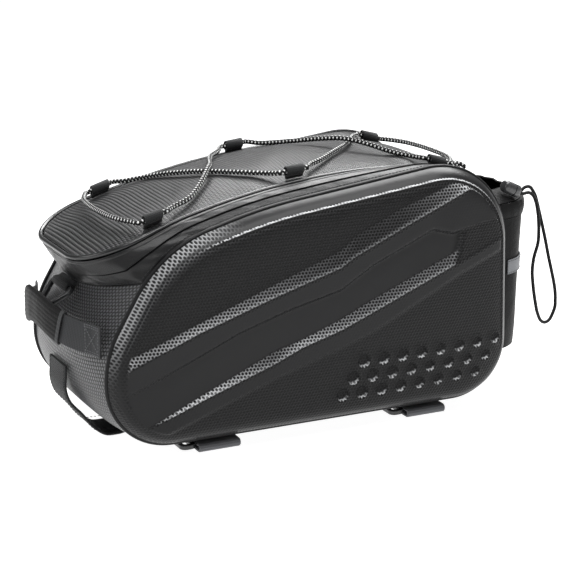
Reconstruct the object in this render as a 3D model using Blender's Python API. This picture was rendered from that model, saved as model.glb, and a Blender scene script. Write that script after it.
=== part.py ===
"""Rear-rack trunk bag for a bicycle, built as its sewn and moulded pieces.

Metres, +Z up. The nose points to -X, the bottle pocket is at +X, the two
moulded side shells face -Y and +Y, and the bag stands on its rack straps.
"""
import math

import bmesh
import bpy
from mathutils import Vector
from mathutils.geometry import delaunay_2d_cdt

# Body: the two side seams and what lies between them
BODY_LENGTH = 0.356
BODY_HEIGHT = 0.198
BODY_WIDTH = 0.170
BASE_DROP = 0.0045
CLOTH_WALL = 0.002
BAND_WALL = 0.0016
CLEARANCE = 0.0003
RIM_STATIONS = 52

# Moulded side shells
SHELL_BULGE = 0.0130
SHELL_CROWN = 0.0025
SHELL_SHOULDER = 0.0045
SHELL_WALL = 0.003
CREASE_STEP = 0.003
CHANNEL_END_BEVEL = 0.008
STUD_RADIUS = 0.0062
STUD_RISE = 0.0013
STUD_PITCH = 0.0177
STUD_ROW_PITCH = 0.0132
STUD_ROW_SHIFT = 0.0094
STUD_ROWS = 3
STUDS_IN_ROW = 8

# Piping cords along the seams
RIM_PIPING_RADIUS = 0.0018
LID_PIPING_RADIUS = 0.0020
PIPING_SIDES = 5

# Lid and the zipped band below it
LID_NOSE_OVERHANG = 0.009
LID_TAIL_SET_IN = 0.006
LID_NOSE_HALF_WIDTH = 0.076
LID_MID_HALF_WIDTH = 0.066
LID_TAIL_HALF_WIDTH = 0.062
LID_APEX_X = 0.060
LID_APEX_DROP = 0.0012
LID_NOSE_RISE = 0.01432
LID_TAIL_RISE = 0.01655
LID_CROWN = 0.008
LID_WALL = 0.002
BAND_BULGE = 0.0018
ZIP_WIDTH = 0.0046
LID_SEAM_GAP = 0.0008

# Front: carry handle, D-ring and seat-post strap
WEBBING = 0.0016
HANDLE_HEIGHT = 0.025
HANDLE_SEWN_HALF = 0.076
HANDLE_REACH = 0.0205
SLEEVE_HEIGHT = 0.029
SLEEVE_HALF = 0.040
RING_ROD_RADIUS = 0.0019
RING_BAR_HALF = 0.022
RING_BEND = 0.002
RING_NOSE_HALF = 0.009
RING_TAB_WIDTH = 0.032
SEATPOST_STRAP_WIDTH = 0.038
SEATPOST_STRAP_TOP = 0.064
STRAP_THICKNESS = 0.0022

# Below: rack straps and their plastic loops
RACK_STRAP_WIDTH = 0.036
RACK_STRAP_GAP = 0.0028
RACK_STRAP_FRONT_X = -0.085
RACK_STRAP_REAR_X = 0.103
RACK_STRAP_REACH = 0.088
RACK_STRAP_INNER = 0.034
RACK_LOOP_BAR = 0.0022
RACK_LOOP_LENGTH = 0.014

# Top: bungee cord and its webbing tabs
BUNGEE_RADIUS = 0.0020
TAB_WIDTH = 0.015
TAB_HEIGHT = 0.0068
TAB_EYE_RADIUS = 0.0030
TAB_WALL = 0.0013
TAB_SIDE_Y = 0.0585
LOOP_STEPS = 14

# Rear: bottle pocket
POCKET_HALF_WIDTH = 0.050
POCKET_REACH = 0.058
POCKET_FOOT_REACH = 0.052
POCKET_FLOOR_Z = 0.033
POCKET_TOP_Z = 0.163
POCKET_SEAM_GAP = 0.0006
POCKET_COLUMNS = 15
HEM_HEIGHT = 0.013
HEM_EXTRA = 0.0008
COLLAR_HEIGHT = 0.010
COLLAR_SHRINK = 0.72
COLLAR_RUFFLE = 0.0012
REFLECTOR_LOW_Z = 0.100
REFLECTOR_HEIGHT = 0.0125
REFLECTOR_THICKNESS = 0.0008
DRAWCORD_RADIUS = 0.0015
CORD_LOCK_RADIUS = 0.0055
CORD_LOCK_LENGTH = 0.017
LOCK_SIDES = 12

BASE_Z = 2 * STRAP_THICKNESS + RACK_STRAP_GAP + CLEARANCE
RIM_Z = BASE_Z + BASE_DROP
GUSSET_HALF = BODY_WIDTH / 2 - RIM_PIPING_RADIUS - CLEARANCE
SHELL_EDGE_Y = BODY_WIDTH / 2 + 0.75 * RIM_PIPING_RADIUS

# Corners of the side seam, as shares: along of BODY_LENGTH, up and radius of BODY_HEIGHT
RIM_CORNERS = (
    {"along": -0.500, "up": 0.000, "radius": 0.272},
    {"along": -0.500, "up": 0.391, "radius": 0.421},
    {"along": -0.367, "up": 0.788, "radius": 0.528},
    {"along": -0.130, "up": 0.908, "radius": 1.992},
    {"along": 0.485, "up": 1.048, "radius": 0.339},
    {"along": 0.500, "up": 0.000, "radius": 0.242},
)
# Ends of the gusset panels on the seam, as shares of BODY_LENGTH and BODY_HEIGHT
BASE_FRONT = {"along": -0.31, "up": 0.00}
FRONT_SEAM = {"along": -0.41, "up": 0.66}
REAR_SEAM = {"along": 0.485, "up": 0.775}
BASE_REAR = {"along": 0.30, "up": 0.00}
FRONT_SEAM_Z = RIM_Z + FRONT_SEAM["up"] * BODY_HEIGHT
REAR_SEAM_Z = RIM_Z + REAR_SEAM["up"] * BODY_HEIGHT
# The lid reaches past the body at the nose and stops short of it at the tail
LID_NOSE_REACH = BODY_LENGTH / 2 + LID_NOSE_OVERHANG
LID_TAIL_REACH = BODY_LENGTH / 2 - LID_TAIL_SET_IN
LID_APEX_Z = RIM_Z + BODY_HEIGHT - LID_APEX_DROP
LID_NOSE_FALL = LID_APEX_Z - FRONT_SEAM_Z - LID_NOSE_RISE
LID_TAIL_FALL = LID_APEX_Z - REAR_SEAM_Z - LID_TAIL_RISE
# How far the middle of a gusset panel stands out: along is the share of its run,
# out of half BODY_WIDTH, drop of BASE_DROP; flat is how flat the middle is
FRONT_SWELL = (
    {"along": 0.00, "out": 0.000, "drop": 1.0, "flat": 6.0},
    {"along": 0.20, "out": 0.047, "drop": 0.9, "flat": 4.0},
    {"along": 0.30, "out": 0.070, "drop": 0.4, "flat": 3.0},
    {"along": 0.49, "out": 0.088, "drop": 0.0, "flat": 2.4},
    {"along": 0.67, "out": 0.100, "drop": 0.0, "flat": 2.2},
    {"along": 0.85, "out": 0.200, "drop": 0.0, "flat": 2.0},
    {"along": 1.00, "out": 0.280, "drop": 0.0, "flat": 1.8},
)
REAR_SWELL = (
    {"along": 0.00, "out": 0.000, "drop": 1.0, "flat": 6.0},
    {"along": 0.25, "out": 0.040, "drop": 0.5, "flat": 4.0},
    {"along": 0.45, "out": 0.060, "drop": 0.0, "flat": 2.4},
    {"along": 1.00, "out": 0.050, "drop": 0.0, "flat": 2.4},
)
SEAM_SAG = 0.062
# Creases pressed in the side shells: along is the share of BODY_LENGTH from the
# middle, up of BODY_HEIGHT from the seam's lowest line; rise is in metres
CREASES = (
    {"name": "ramp_top", "rise": 0.0000, "along": (-0.491, -0.307, -0.126, 0.038, 0.073, 0.189, 0.281),
     "up": (0.371, 0.498, 0.618, 0.724, 0.776, 0.867, 0.917)},
    {"name": "ramp_foot", "rise": 0.0032, "along": (-0.483, -0.307, -0.126, 0.038, 0.073, 0.208, 0.337),
     "up": (0.334, 0.463, 0.568, 0.654, 0.692, 0.797, 0.894)},
    {"name": "channel_top", "rise": 0.0022,
     "along": (-0.293, -0.209, -0.084, 0.039, 0.119, 0.273, 0.325, 0.363),
     "up": (0.382, 0.447, 0.516, 0.567, 0.653, 0.770, 0.745, 0.757)},
    {"name": "channel_floor", "rise": -0.0012, "along": (-0.293, -0.127, -0.059, 0.040, 0.120, 0.317),
     "up": (0.207, 0.341, 0.374, 0.438, 0.503, 0.646)},
    {"name": "blade_edge", "rise": 0.0022, "along": (-0.387, -0.293, -0.127, -0.059, 0.040, 0.120, 0.344),
     "up": (0.122, 0.190, 0.291, 0.344, 0.394, 0.451, 0.614)},
    {"name": "lower_crease", "rise": 0.0010,
     "along": (-0.326, -0.252, -0.127, -0.059, 0.040, 0.121, 0.352, 0.461),
     "up": (0.103, 0.153, 0.234, 0.269, 0.322, 0.372, 0.574, 0.651)},
)
CHANNEL_END = {"low": (0.344, 0.614), "high": (0.363, 0.757)}
STUD_FIRST = {"along": 0.101, "up": 0.248}

# Handle route: across is the share of HANDLE_SEWN_HALF, out of HANDLE_REACH from
# the panel, up of the way from HANDLE_END_Z to HANDLE_MID_Z
HANDLE_END_Z = FRONT_SEAM_Z - 0.04468
HANDLE_MID_Z = FRONT_SEAM_Z - 0.03168
HANDLE_ROUTE = (
    {"across": 1.00, "out": 0.00, "up": 0.00},
    {"across": 0.86, "out": 0.05, "up": 0.02},
    {"across": 0.72, "out": 0.28, "up": 0.10},
    {"across": 0.56, "out": 0.62, "up": 0.30},
    {"across": 0.38, "out": 0.86, "up": 0.62},
    {"across": 0.18, "out": 0.98, "up": 0.92},
    {"across": 0.00, "out": 1.00, "up": 1.00},
)
# Seat-post strap in side view: up is the share of SEATPOST_STRAP_TOP, out the
# share of the strap's width in front of the panel, and along for its last stretch
SEATPOST_ROUTE = (
    {"up": 1.00, "out": 0.045},
    {"up": 0.86, "out": 0.090},
    {"up": 0.70, "out": 0.190},
    {"up": 0.52, "out": 0.270},
    {"up": 0.34, "out": 0.300},
    {"up": 0.16, "out": 0.270},
)

# Bungee route: x and y chosen on the lid, with the height worked out from it;
# lift carries the upper cord over the lower one where two cross
BUNGEE_TABS = (
    {"name": "near_front", "x": -0.127, "side": -1},
    {"name": "near_middle", "x": -0.006, "side": -1},
    {"name": "near_rear", "x": 0.125, "side": -1},
    {"name": "far_front", "x": -0.127, "side": 1},
    {"name": "far_middle", "x": -0.006, "side": 1},
    {"name": "far_rear", "x": 0.125, "side": 1},
)
BUNGEE_LEGS = (
    ("near_front", -1, ((-0.142, -0.052, 0), (-0.149, -0.036, 0), (-0.152, -0.014, 0),
                        (-0.152, 0.012, 0), (-0.149, 0.036, 0), (-0.142, 0.053, 0)), "far_front", -1),
    ("far_front", 1, ((-0.108, 0.052, 0), (-0.096, 0.042, 0), (-0.083, 0.024, 0), (-0.069, 0.004, 0),
                      (-0.057, -0.013, 0), (-0.040, -0.034, 0), (-0.024, -0.049, 0)), "near_middle", -1),
    ("near_middle", 1, ((0.012, -0.050, 0), (0.025, -0.043, 0), (0.042, -0.031, 0), (0.062, -0.014, 0),
                        (0.080, 0.010, 0), (0.096, 0.036, 0), (0.108, 0.052, 0)), "far_rear", -1),
    ("far_rear", 1, ((0.142, 0.052, 0), (0.149, 0.036, 0), (0.152, 0.014, 0),
                     (0.152, -0.014, 0), (0.149, -0.036, 0), (0.142, -0.052, 0)), "near_rear", 1),
    ("near_rear", -1, ((0.108, -0.049, 0), (0.094, -0.038, 0), (0.078, -0.024, 0.6), (0.064, -0.010, 1),
                       (0.050, 0.006, 0.6), (0.034, 0.026, 0), (0.016, 0.048, 0)), "far_middle", 1),
    ("far_middle", -1, ((-0.024, 0.050, 0), (-0.037, 0.036, 0), (-0.047, 0.016, 0.1), (-0.055, -0.004, 0.7),
                        (-0.062, -0.016, 1), (-0.073, -0.030, 0.5), (-0.090, -0.046, 0),
                        (-0.108, -0.053, 0)), "near_front", 1),
)
BUNGEE_SPACING = 0.020

# Drawcord: x, y and z from the cord lock, down one strand and up the other
DRAWCORD_ROUTE = (
    (0.2186, -0.0418, 0.1695), (0.2218, -0.0418, 0.1684), (0.2265, -0.0418, 0.1690),
    (0.2315, -0.0418, 0.1662), (0.2352, -0.0418, 0.1590), (0.2375, -0.0420, 0.1480),
    (0.2385, -0.0424, 0.1340), (0.2378, -0.0428, 0.1230), (0.2340, -0.0432, 0.1110),
    (0.2325, -0.0435, 0.0990), (0.2350, -0.0435, 0.0790), (0.2400, -0.0425, 0.0600),
    (0.2445, -0.0412, 0.0520), (0.2500, -0.0400, 0.0490), (0.2560, -0.0388, 0.0510),
    (0.2615, -0.0375, 0.0600), (0.2618, -0.0368, 0.0750), (0.2588, -0.0362, 0.0900),
    (0.2545, -0.0358, 0.1060), (0.2500, -0.0356, 0.1240), (0.2455, -0.0356, 0.1400),
    (0.2415, -0.0358, 0.1530), (0.2372, -0.0363, 0.1650), (0.2318, -0.0368, 0.1722),
    (0.2262, -0.0372, 0.1728), (0.2220, -0.0372, 0.1700), (0.2186, -0.0372, 0.1697),
)
DRAWCORD_SPACING = 0.0085
CORD_LOCK_END = (BODY_LENGTH / 2 + 0.0396, -0.0395, POCKET_TOP_Z + 0.0071)
CORD_LOCK_SLANT = 25.0

MATERIALS = {
    "moulded_shell": {"color": (0.030, 0.030, 0.031, 1.0), "roughness": 0.50, "metallic": 0.0},
    "coated_fabric": {"color": (0.028, 0.028, 0.029, 1.0), "roughness": 0.42, "metallic": 0.0},
    "textured_fabric": {"color": (0.040, 0.040, 0.041, 1.0), "roughness": 0.55, "metallic": 0.0},
    "webbing": {"color": (0.014, 0.014, 0.015, 1.0), "roughness": 0.75, "metallic": 0.0},
    "piping": {"color": (0.020, 0.020, 0.021, 1.0), "roughness": 0.35, "metallic": 0.0},
    "black_plastic": {"color": (0.012, 0.012, 0.012, 1.0), "roughness": 0.35, "metallic": 0.0},
    "cord": {"color": (0.020, 0.020, 0.020, 1.0), "roughness": 0.80, "metallic": 0.0},
    "reflective_tape": {"color": (0.560, 0.560, 0.560, 1.0), "roughness": 0.30, "metallic": 0.0},
}


def clear_scene():
    """Remove the objects of the opened scene."""
    for item in list(bpy.data.objects):
        bpy.data.objects.remove(item, do_unlink=True)


def material(name):
    """Return the Principled material of that name, made at its first use."""
    found = bpy.data.materials.get(name)
    if found:
        return found
    values = MATERIALS[name]
    made = bpy.data.materials.new(name)
    made.use_nodes = True
    shader = made.node_tree.nodes["Principled BSDF"]
    shader.inputs["Base Color"].default_value = values["color"]
    shader.inputs["Roughness"].default_value = values["roughness"]
    shader.inputs["Metallic"].default_value = values["metallic"]
    return made


def mix(low, high, share):
    """Blend two values or vectors."""
    return low + (high - low) * share


def smooth_step(low, high, value):
    """Rise smoothly from 0 at low to 1 at high."""
    share = min(max((value - low) / (high - low), 0.0), 1.0)
    return share * share * (3 - 2 * share)


def read_line(xs, ys, x):
    """Read a polyline at x, running on straight past its ends."""
    last = len(xs) - 2
    slot = next((i for i in range(last) if x < xs[i + 1]), last)
    return ys[slot] + (ys[slot + 1] - ys[slot]) * (x - xs[slot]) / (xs[slot + 1] - xs[slot])


def read_table(rows, key, share):
    """Read one column of a table whose rows stand at their along value."""
    share = min(max(share, 0.0), 1.0)
    return read_line([row["along"] for row in rows], [row[key] for row in rows], share)


def rounded_loop(corners, arc_steps=12):
    """Round the corners (x, z, radius) of a closed polygon with arcs."""
    points = []
    for index, (x, z, radius) in enumerate(corners):
        corner = Vector((x, z))
        before = (Vector(corners[index - 1][:2]) - corner).normalized()
        after = (Vector(corners[(index + 1) % len(corners)][:2]) - corner).normalized()
        half = before.angle(after) / 2
        centre = corner + (before + after).normalized() * (radius / math.sin(half))
        start = corner + before * (radius / math.tan(half)) - centre
        turn = start.angle_signed(corner + after * (radius / math.tan(half)) - centre)
        for step in range(arc_steps + 1):
            angle = -turn * step / arc_steps
            cosine, sine = math.cos(angle), math.sin(angle)
            points.append(centre + Vector((start.x * cosine - start.y * sine,
                                           start.x * sine + start.y * cosine)))
    return points


def resample(points, count, closed=False):
    """Set count points evenly along a polyline."""
    path = list(points) + ([points[0]] if closed else [])
    lengths = [0.0]
    for before, after in zip(path, path[1:]):
        lengths.append(lengths[-1] + (after - before).length)
    spans = count if closed else count - 1
    result = []
    slot = 0
    for index in range(count):
        target = lengths[-1] * index / spans
        while slot < len(path) - 2 and lengths[slot + 1] < target:
            slot += 1
        share = (target - lengths[slot]) / max(lengths[slot + 1] - lengths[slot], 1e-9)
        result.append(mix(path[slot], path[slot + 1], min(share, 1.0)))
    return result


def smooth_curve(points, spacing, closed=False):
    """Run a Catmull-Rom curve through points, with a step about every spacing."""
    knots = [Vector(point) for point in points]
    count = len(knots)
    path = []
    for index in range(count if closed else count - 1):
        if closed:
            around = [knots[(index + step) % count] for step in (-1, 0, 1, 2)]
        else:
            around = [knots[min(max(index + step, 0), count - 1)] for step in (-1, 0, 1, 2)]
        steps = max(1, round((around[2] - around[1]).length / spacing))
        for step in range(steps):
            path.append(catmull_rom(around, step / steps))
    if not closed:
        path.append(knots[-1])
    return path


def catmull_rom(around, share):
    """Evaluate one span of a Catmull-Rom curve between its two middle knots."""
    p0, p1, p2, p3 = around
    return 0.5 * (2 * p1 + (p2 - p0) * share + (2 * p0 - 5 * p1 + 4 * p2 - p3) * share ** 2
                  + (3 * p1 - p0 - 3 * p2 + p3) * share ** 3)


def add_object(name, vertices, faces, material_name, smooth_angle=40):
    """Make one closed, outward-facing object from vertices and faces."""
    mesh = bpy.data.meshes.new(name)
    shape = bmesh.new()
    placed = [shape.verts.new(vertex) for vertex in vertices]
    for face in faces:
        shape.faces.new([placed[index] for index in face])
    bmesh.ops.remove_doubles(shape, verts=shape.verts, dist=0.00001)
    bmesh.ops.dissolve_degenerate(shape, edges=shape.edges, dist=0.00001)
    bmesh.ops.recalc_face_normals(shape, faces=shape.faces)
    shape.to_mesh(mesh)
    shape.free()
    mesh.materials.append(material(material_name))
    mesh.shade_smooth()
    mesh.set_sharp_from_angle(angle=math.radians(smooth_angle))
    made = bpy.data.objects.new(name, mesh)
    bpy.context.scene.collection.objects.link(made)
    return made


def grid_faces(rows, columns, first, wrap_rows=False, wrap_columns=False):
    """List the quads of a grid whose vertices start at first."""
    faces = []
    for row in range(rows if wrap_rows else rows - 1):
        for column in range(columns if wrap_columns else columns - 1):
            right = (column + 1) % columns
            below = (row + 1) % rows
            faces.append((first + row * columns + column, first + row * columns + right,
                          first + below * columns + right, first + below * columns + column))
    return faces


def grid_normals(grid, wrap):
    """Work out the normal of each grid point from its neighbours."""
    rows, columns = len(grid), len(grid[0])
    normals = []
    for row in range(rows):
        line = []
        for column in range(columns):
            if wrap:
                side = grid[row][(column + 1) % columns] - grid[row][column - 1]
            else:
                side = grid[row][min(column + 1, columns - 1)] - grid[row][max(column - 1, 0)]
            down = grid[min(row + 1, rows - 1)][column] - grid[max(row - 1, 0)][column]
            line.append(side.cross(down).normalized())
        normals.append(line)
    return normals


def walled_sheet(name, grid, wall, material_name, wrap=False, inward=-1):
    """Give a grid of points a wall and close its edges; inward is the wall's side of the grid."""
    rows, columns = len(grid), len(grid[0])
    normals = grid_normals(grid, wrap)
    outer = [point for line in grid for point in line]
    inner = [point + normal * (wall * inward)
             for line, row_normals in zip(grid, normals) for point, normal in zip(line, row_normals)]
    count = rows * columns
    faces = grid_faces(rows, columns, 0, wrap_columns=wrap)
    faces += [tuple(reversed(face)) for face in grid_faces(rows, columns, count, wrap_columns=wrap)]
    for column in range(columns if wrap else columns - 1):
        right = (column + 1) % columns
        last = (rows - 1) * columns
        faces.append((column, count + column, count + right, right))
        faces.append((last + right, count + last + right, count + last + column, last + column))
    if not wrap:
        for row in range(rows - 1):
            start, after = row * columns, (row + 1) * columns
            end = columns - 1
            faces.append((start, after, count + after, count + start))
            faces.append((start + end, count + start + end, count + after + end, after + end))
    return add_object(name, outer + inner, faces, material_name)


def swept_tube(name, path, radius, sides, material_name):
    """Sweep a round section along a closed path."""
    count = len(path)
    vertices = []
    across = None
    for index, point in enumerate(path):
        along = (path[(index + 1) % count] - path[index - 1]).normalized()
        if across is None:
            across = along.orthogonal().normalized()
        across = (across - along * across.dot(along)).normalized()
        above = along.cross(across)
        for side in range(sides):
            angle = 2 * math.pi * side / sides
            vertices.append(point + (across * math.cos(angle) + above * math.sin(angle)) * radius)
    faces = grid_faces(count, sides, 0, wrap_rows=True, wrap_columns=True)
    return add_object(name, vertices, faces, material_name, 60)


def extruded_band(name, profile, axis, low, high, material_name):
    """Extrude a closed 2D profile along X or Y from low to high."""
    count = len(profile)
    vertices = []
    for value in (low, high):
        for first, second in profile:
            vertices.append(Vector((value, first, second)) if axis == "X"
                            else Vector((first, value, second)))
    faces = [tuple(range(count)), tuple(range(2 * count - 1, count - 1, -1))]
    for index in range(count):
        after = (index + 1) % count
        faces.append((index, count + index, count + after, after))
    return add_object(name, vertices, faces, material_name)


def ribbon_profile(path, thickness):
    """Give a 2D path a thickness and return its closed outline."""
    left, right = [], []
    for index, point in enumerate(path):
        along = (path[min(index + 1, len(path) - 1)] - path[max(index - 1, 0)]).normalized()
        normal = Vector((-along.y, along.x)) * (thickness / 2)
        left.append(point + normal)
        right.append(point - normal)
    return left + right[::-1]


def sewn_loop(name, eye, stem_tip, width, eye_radius, wall, axis, material_name, centre=0.0, slope=0.0):
    """Fold webbing round an eye and sew its two ends together in a stem.

    The eye and the stem's tip lie in the plane across axis, X or Y, and the
    webbing is width wide along that axis, about centre, rising by slope.
    """
    steps = LOOP_STEPS
    toward = stem_tip - eye
    reach = toward.length
    heading = math.atan2(toward.y, toward.x)
    outer, inner = [], []
    for step in range(steps):
        angle = 2 * math.pi * step / steps
        direction = Vector((math.cos(heading + angle), math.sin(heading + angle)))
        spread = eye_radius + wall
        facing = math.cos(angle)
        if facing > 0:
            run_to_tip = reach / facing
            run_to_side = wall * 1.15 / max(abs(math.sin(angle)), 1e-6)
            spread = max(spread, min(run_to_tip, run_to_side))
        outer.append(eye + direction * spread)
        inner.append(eye + direction * eye_radius)
    vertices = []
    for value in (centre - width / 2, centre + width / 2):
        rise = (value - centre) * slope
        for ring in (outer, inner):
            for first, second in ring:
                vertices.append(Vector((value, first, second + rise)) if axis == "X"
                                else Vector((first, value, second + rise)))
    faces = []
    for step in range(steps):
        after = (step + 1) % steps
        faces.append((step, after, steps + after, steps + step))
        faces.append((2 * steps + after, 2 * steps + step, 3 * steps + step, 3 * steps + after))
        faces.append((after, step, 2 * steps + step, 2 * steps + after))
        faces.append((steps + step, steps + after, 3 * steps + after, 3 * steps + step))
    return add_object(name, vertices, faces, material_name)


def rim_loop():
    """Return the side seam as evenly spaced (x, z) stations.

    It starts in the middle of the bottom and runs forward, up the front, over
    the top and down the rear.
    """
    corners = [(row["along"] * BODY_LENGTH, RIM_Z + row["up"] * BODY_HEIGHT,
                row["radius"] * BODY_HEIGHT) for row in RIM_CORNERS]
    start = Vector((0.0, RIM_Z))
    return resample([start] + rounded_loop(corners), RIM_STATIONS, closed=True)


RIM = rim_loop()


def rim_at(station):
    """Return the seam's point at a station that may lie between two."""
    whole = math.floor(station)
    return mix(RIM[whole % RIM_STATIONS], RIM[(whole + 1) % RIM_STATIONS], station - whole)


def rim_inset(inset):
    """Return the seam moved inward by inset."""
    moved = []
    for index, point in enumerate(RIM):
        along = (RIM[(index + 1) % RIM_STATIONS] - RIM[index - 1]).normalized()
        moved.append(point + Vector((along.y, -along.x)) * inset)
    return moved


def station_near(place):
    """Find the seam station nearest to a place given in shares."""
    target = Vector((place["along"] * BODY_LENGTH, RIM_Z + place["up"] * BODY_HEIGHT))
    return min(range(RIM_STATIONS), key=lambda index: (RIM[index] - target).length)


BASE_FRONT_STATION = station_near(BASE_FRONT)
FRONT_SEAM_STATION = station_near(FRONT_SEAM)
REAR_SEAM_STATION = station_near(REAR_SEAM)
BASE_REAR_STATION = station_near(BASE_REAR)


def gusset_point(station, across):
    """Return the point of the gusset at a station; across runs from -1 to 1."""
    rim = rim_at(station)
    if BASE_FRONT_STATION <= station <= FRONT_SEAM_STATION + 1:
        share = (station - BASE_FRONT_STATION) / (FRONT_SEAM_STATION - BASE_FRONT_STATION)
        rows, heading = FRONT_SWELL, -1
    elif REAR_SEAM_STATION - 1 <= station <= BASE_REAR_STATION:
        share = (BASE_REAR_STATION - station) / (BASE_REAR_STATION - REAR_SEAM_STATION)
        rows, heading = REAR_SWELL, 1
    else:
        share, rows, heading = 0.0, FRONT_SWELL, -1
    swell = 1 - abs(across) ** read_table(rows, "flat", share)
    out = read_table(rows, "out", share) * BODY_WIDTH / 2 * swell
    drop = read_table(rows, "drop", share) * BASE_DROP * swell
    return Vector((rim.x + heading * out, across * GUSSET_HALF, rim.y - drop))


def front_surface_x(z, across=0.0):
    """Return where the front panel lies at a height."""
    low, high = BASE_FRONT_STATION + 1.0, float(FRONT_SEAM_STATION)
    for _ in range(30):
        middle = (low + high) / 2
        if gusset_point(middle, across).z < z:
            low = middle
        else:
            high = middle
    return gusset_point(low, across).x


def rear_surface_x(z, across=0.0):
    """Return where the rear panel lies at a height."""
    low, high = float(REAR_SEAM_STATION), BASE_REAR_STATION - 1.0
    for _ in range(30):
        middle = (low + high) / 2
        if gusset_point(middle, across).z > z:
            low = middle
        else:
            high = middle
    return gusset_point(low, across).x


ACROSS = (-1.0, -0.8, -0.45, 0.0, 0.45, 0.8, 1.0)


def front_top_station(across):
    """Return the station of the front panel's top edge, lower in the middle."""
    return FRONT_SEAM_STATION - SEAM_SAG * RIM_STATIONS / 4 * (1 - across * across)


def build_gusset():
    """Build the base, front and rear panels between the two shells."""
    seam_gap = CLEARANCE / (RIM[1] - RIM[0]).length
    base_rows = range(BASE_REAR_STATION, RIM_STATIONS + BASE_FRONT_STATION + 1)
    base = [[gusset_point(min(max(row, BASE_REAR_STATION + seam_gap),
                              RIM_STATIONS + BASE_FRONT_STATION - seam_gap) % RIM_STATIONS, across)
             for across in ACROSS] for row in base_rows]
    walled_sheet("base_panel", base, CLOTH_WALL, "coated_fabric", inward=1)
    steps = FRONT_SEAM_STATION - BASE_FRONT_STATION
    front = []
    for step in range(steps + 1):
        front.append([gusset_point(mix(BASE_FRONT_STATION, front_top_station(across), step / steps), across)
                      for across in ACROSS])
    walled_sheet("front_panel", front, CLOTH_WALL, "textured_fabric", inward=1)
    rear = [[gusset_point(row, across) for across in ACROSS]
            for row in range(REAR_SEAM_STATION, BASE_REAR_STATION + 1)]
    walled_sheet("rear_panel", rear, CLOTH_WALL, "coated_fabric", inward=1)


def crease_height(crease, x):
    """Return the height of a crease of the shell above x."""
    return RIM_Z + read_line(crease["along"], crease["up"], x / BODY_LENGTH) * BODY_HEIGHT


def channel_end_x(z):
    """Return where the pressed channel ends at a height."""
    (low_x, low_z), (high_x, high_z) = CHANNEL_END["low"], CHANNEL_END["high"]
    return BODY_LENGTH * read_line((low_z, high_z), (low_x, high_x), (z - RIM_Z) / BODY_HEIGHT)


def shell_relief(x, z):
    """Return how far the pressed pattern stands out of the shell."""
    lines = []
    for crease in CREASES:
        height = crease_height(crease, x)
        rise = crease["rise"]
        if crease["name"] == "channel_floor":
            lines.append((lines[-1][0] - CREASE_STEP, rise))
        if crease["name"] in ("channel_floor", "blade_edge", "channel_top"):
            rise *= smooth_step(-0.46, -0.28, x / BODY_LENGTH)
        lines.append((min(height, lines[-1][0] - 0.0004) if lines else height, rise))
    lines.append((lines[-1][0] - CREASE_STEP, 0.0))
    if z >= lines[0][0] or z <= lines[-1][0]:
        return 0.0
    slot = next(index for index in range(len(lines) - 1) if z >= lines[index + 1][0])
    (top, top_rise), (low, low_rise) = lines[slot], lines[slot + 1]
    rise = low_rise + (top_rise - low_rise) * (z - low) / (top - low)
    if lines[5][0] < z < lines[2][0]:
        end = channel_end_x(z)
        rise = mix(rise, lines[5][1], smooth_step(end - CHANNEL_END_BEVEL, end, x))
    return rise


def shell_depth(inset):
    """Return how far the plain shell stands out at an inset from its edge."""
    crown = 1 - (1 - min(inset / (BODY_HEIGHT * 0.45), 1.0)) ** 2
    return SHELL_BULGE * (1 - math.exp(-inset / SHELL_SHOULDER)) + SHELL_CROWN * crown


def distance_to_rim(x, z):
    """Return a point's distance to the side seam."""
    point = Vector((x, z))
    nearest = 1.0
    for index in range(RIM_STATIONS):
        start = RIM[index - 1]
        span = RIM[index] - start
        share = min(max((point - start).dot(span) / span.length_squared, 0.0), 1.0)
        nearest = min(nearest, (point - start - span * share).length)
    return nearest


def rim_holds(x, z, margin):
    """Tell whether a point lies inside the side seam by more than margin."""
    inside = False
    for index in range(RIM_STATIONS):
        before, after = RIM[index - 1], RIM[index]
        if (before.y > z) != (after.y > z):
            crossing = mix(before.x, after.x, (z - before.y) / (after.y - before.y))
            inside = inside != (x < crossing)
    return inside and distance_to_rim(x, z) > margin


SHELL_OUTER_INSETS = (CLEARANCE, 0.0023, 0.0055, 0.0105)
# The last inner ring stays inside the seam's tightest corner
SHELL_INNER_INSETS = (CLEARANCE + SHELL_WALL, 0.011, 0.22727 * BODY_HEIGHT)


def shell_studs():
    """Return the centre and radius of each round stud that the shell has room for."""
    studs = []
    for row in range(STUD_ROWS):
        for column in range(STUDS_IN_ROW):
            share = column / (STUDS_IN_ROW - 1)
            x = STUD_FIRST["along"] * BODY_LENGTH - row * STUD_ROW_SHIFT + column * STUD_PITCH
            z = RIM_Z + STUD_FIRST["up"] * BODY_HEIGHT - row * STUD_ROW_PITCH + 0.0025 * share ** 3
            radius = STUD_RADIUS * (1 - 0.22 * share)
            if rim_holds(x, z, radius + SHELL_OUTER_INSETS[-1]):
                studs.append((x, z, radius))
    return studs


def crease_points(crease, margin):
    """Return a crease's points that lie well inside the shell."""
    points = []
    for share in crease["along"]:
        x = share * BODY_LENGTH
        z = crease_height(crease, x)
        if rim_holds(x, z, margin):
            points.append(Vector((x, z)))
    return points


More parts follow.
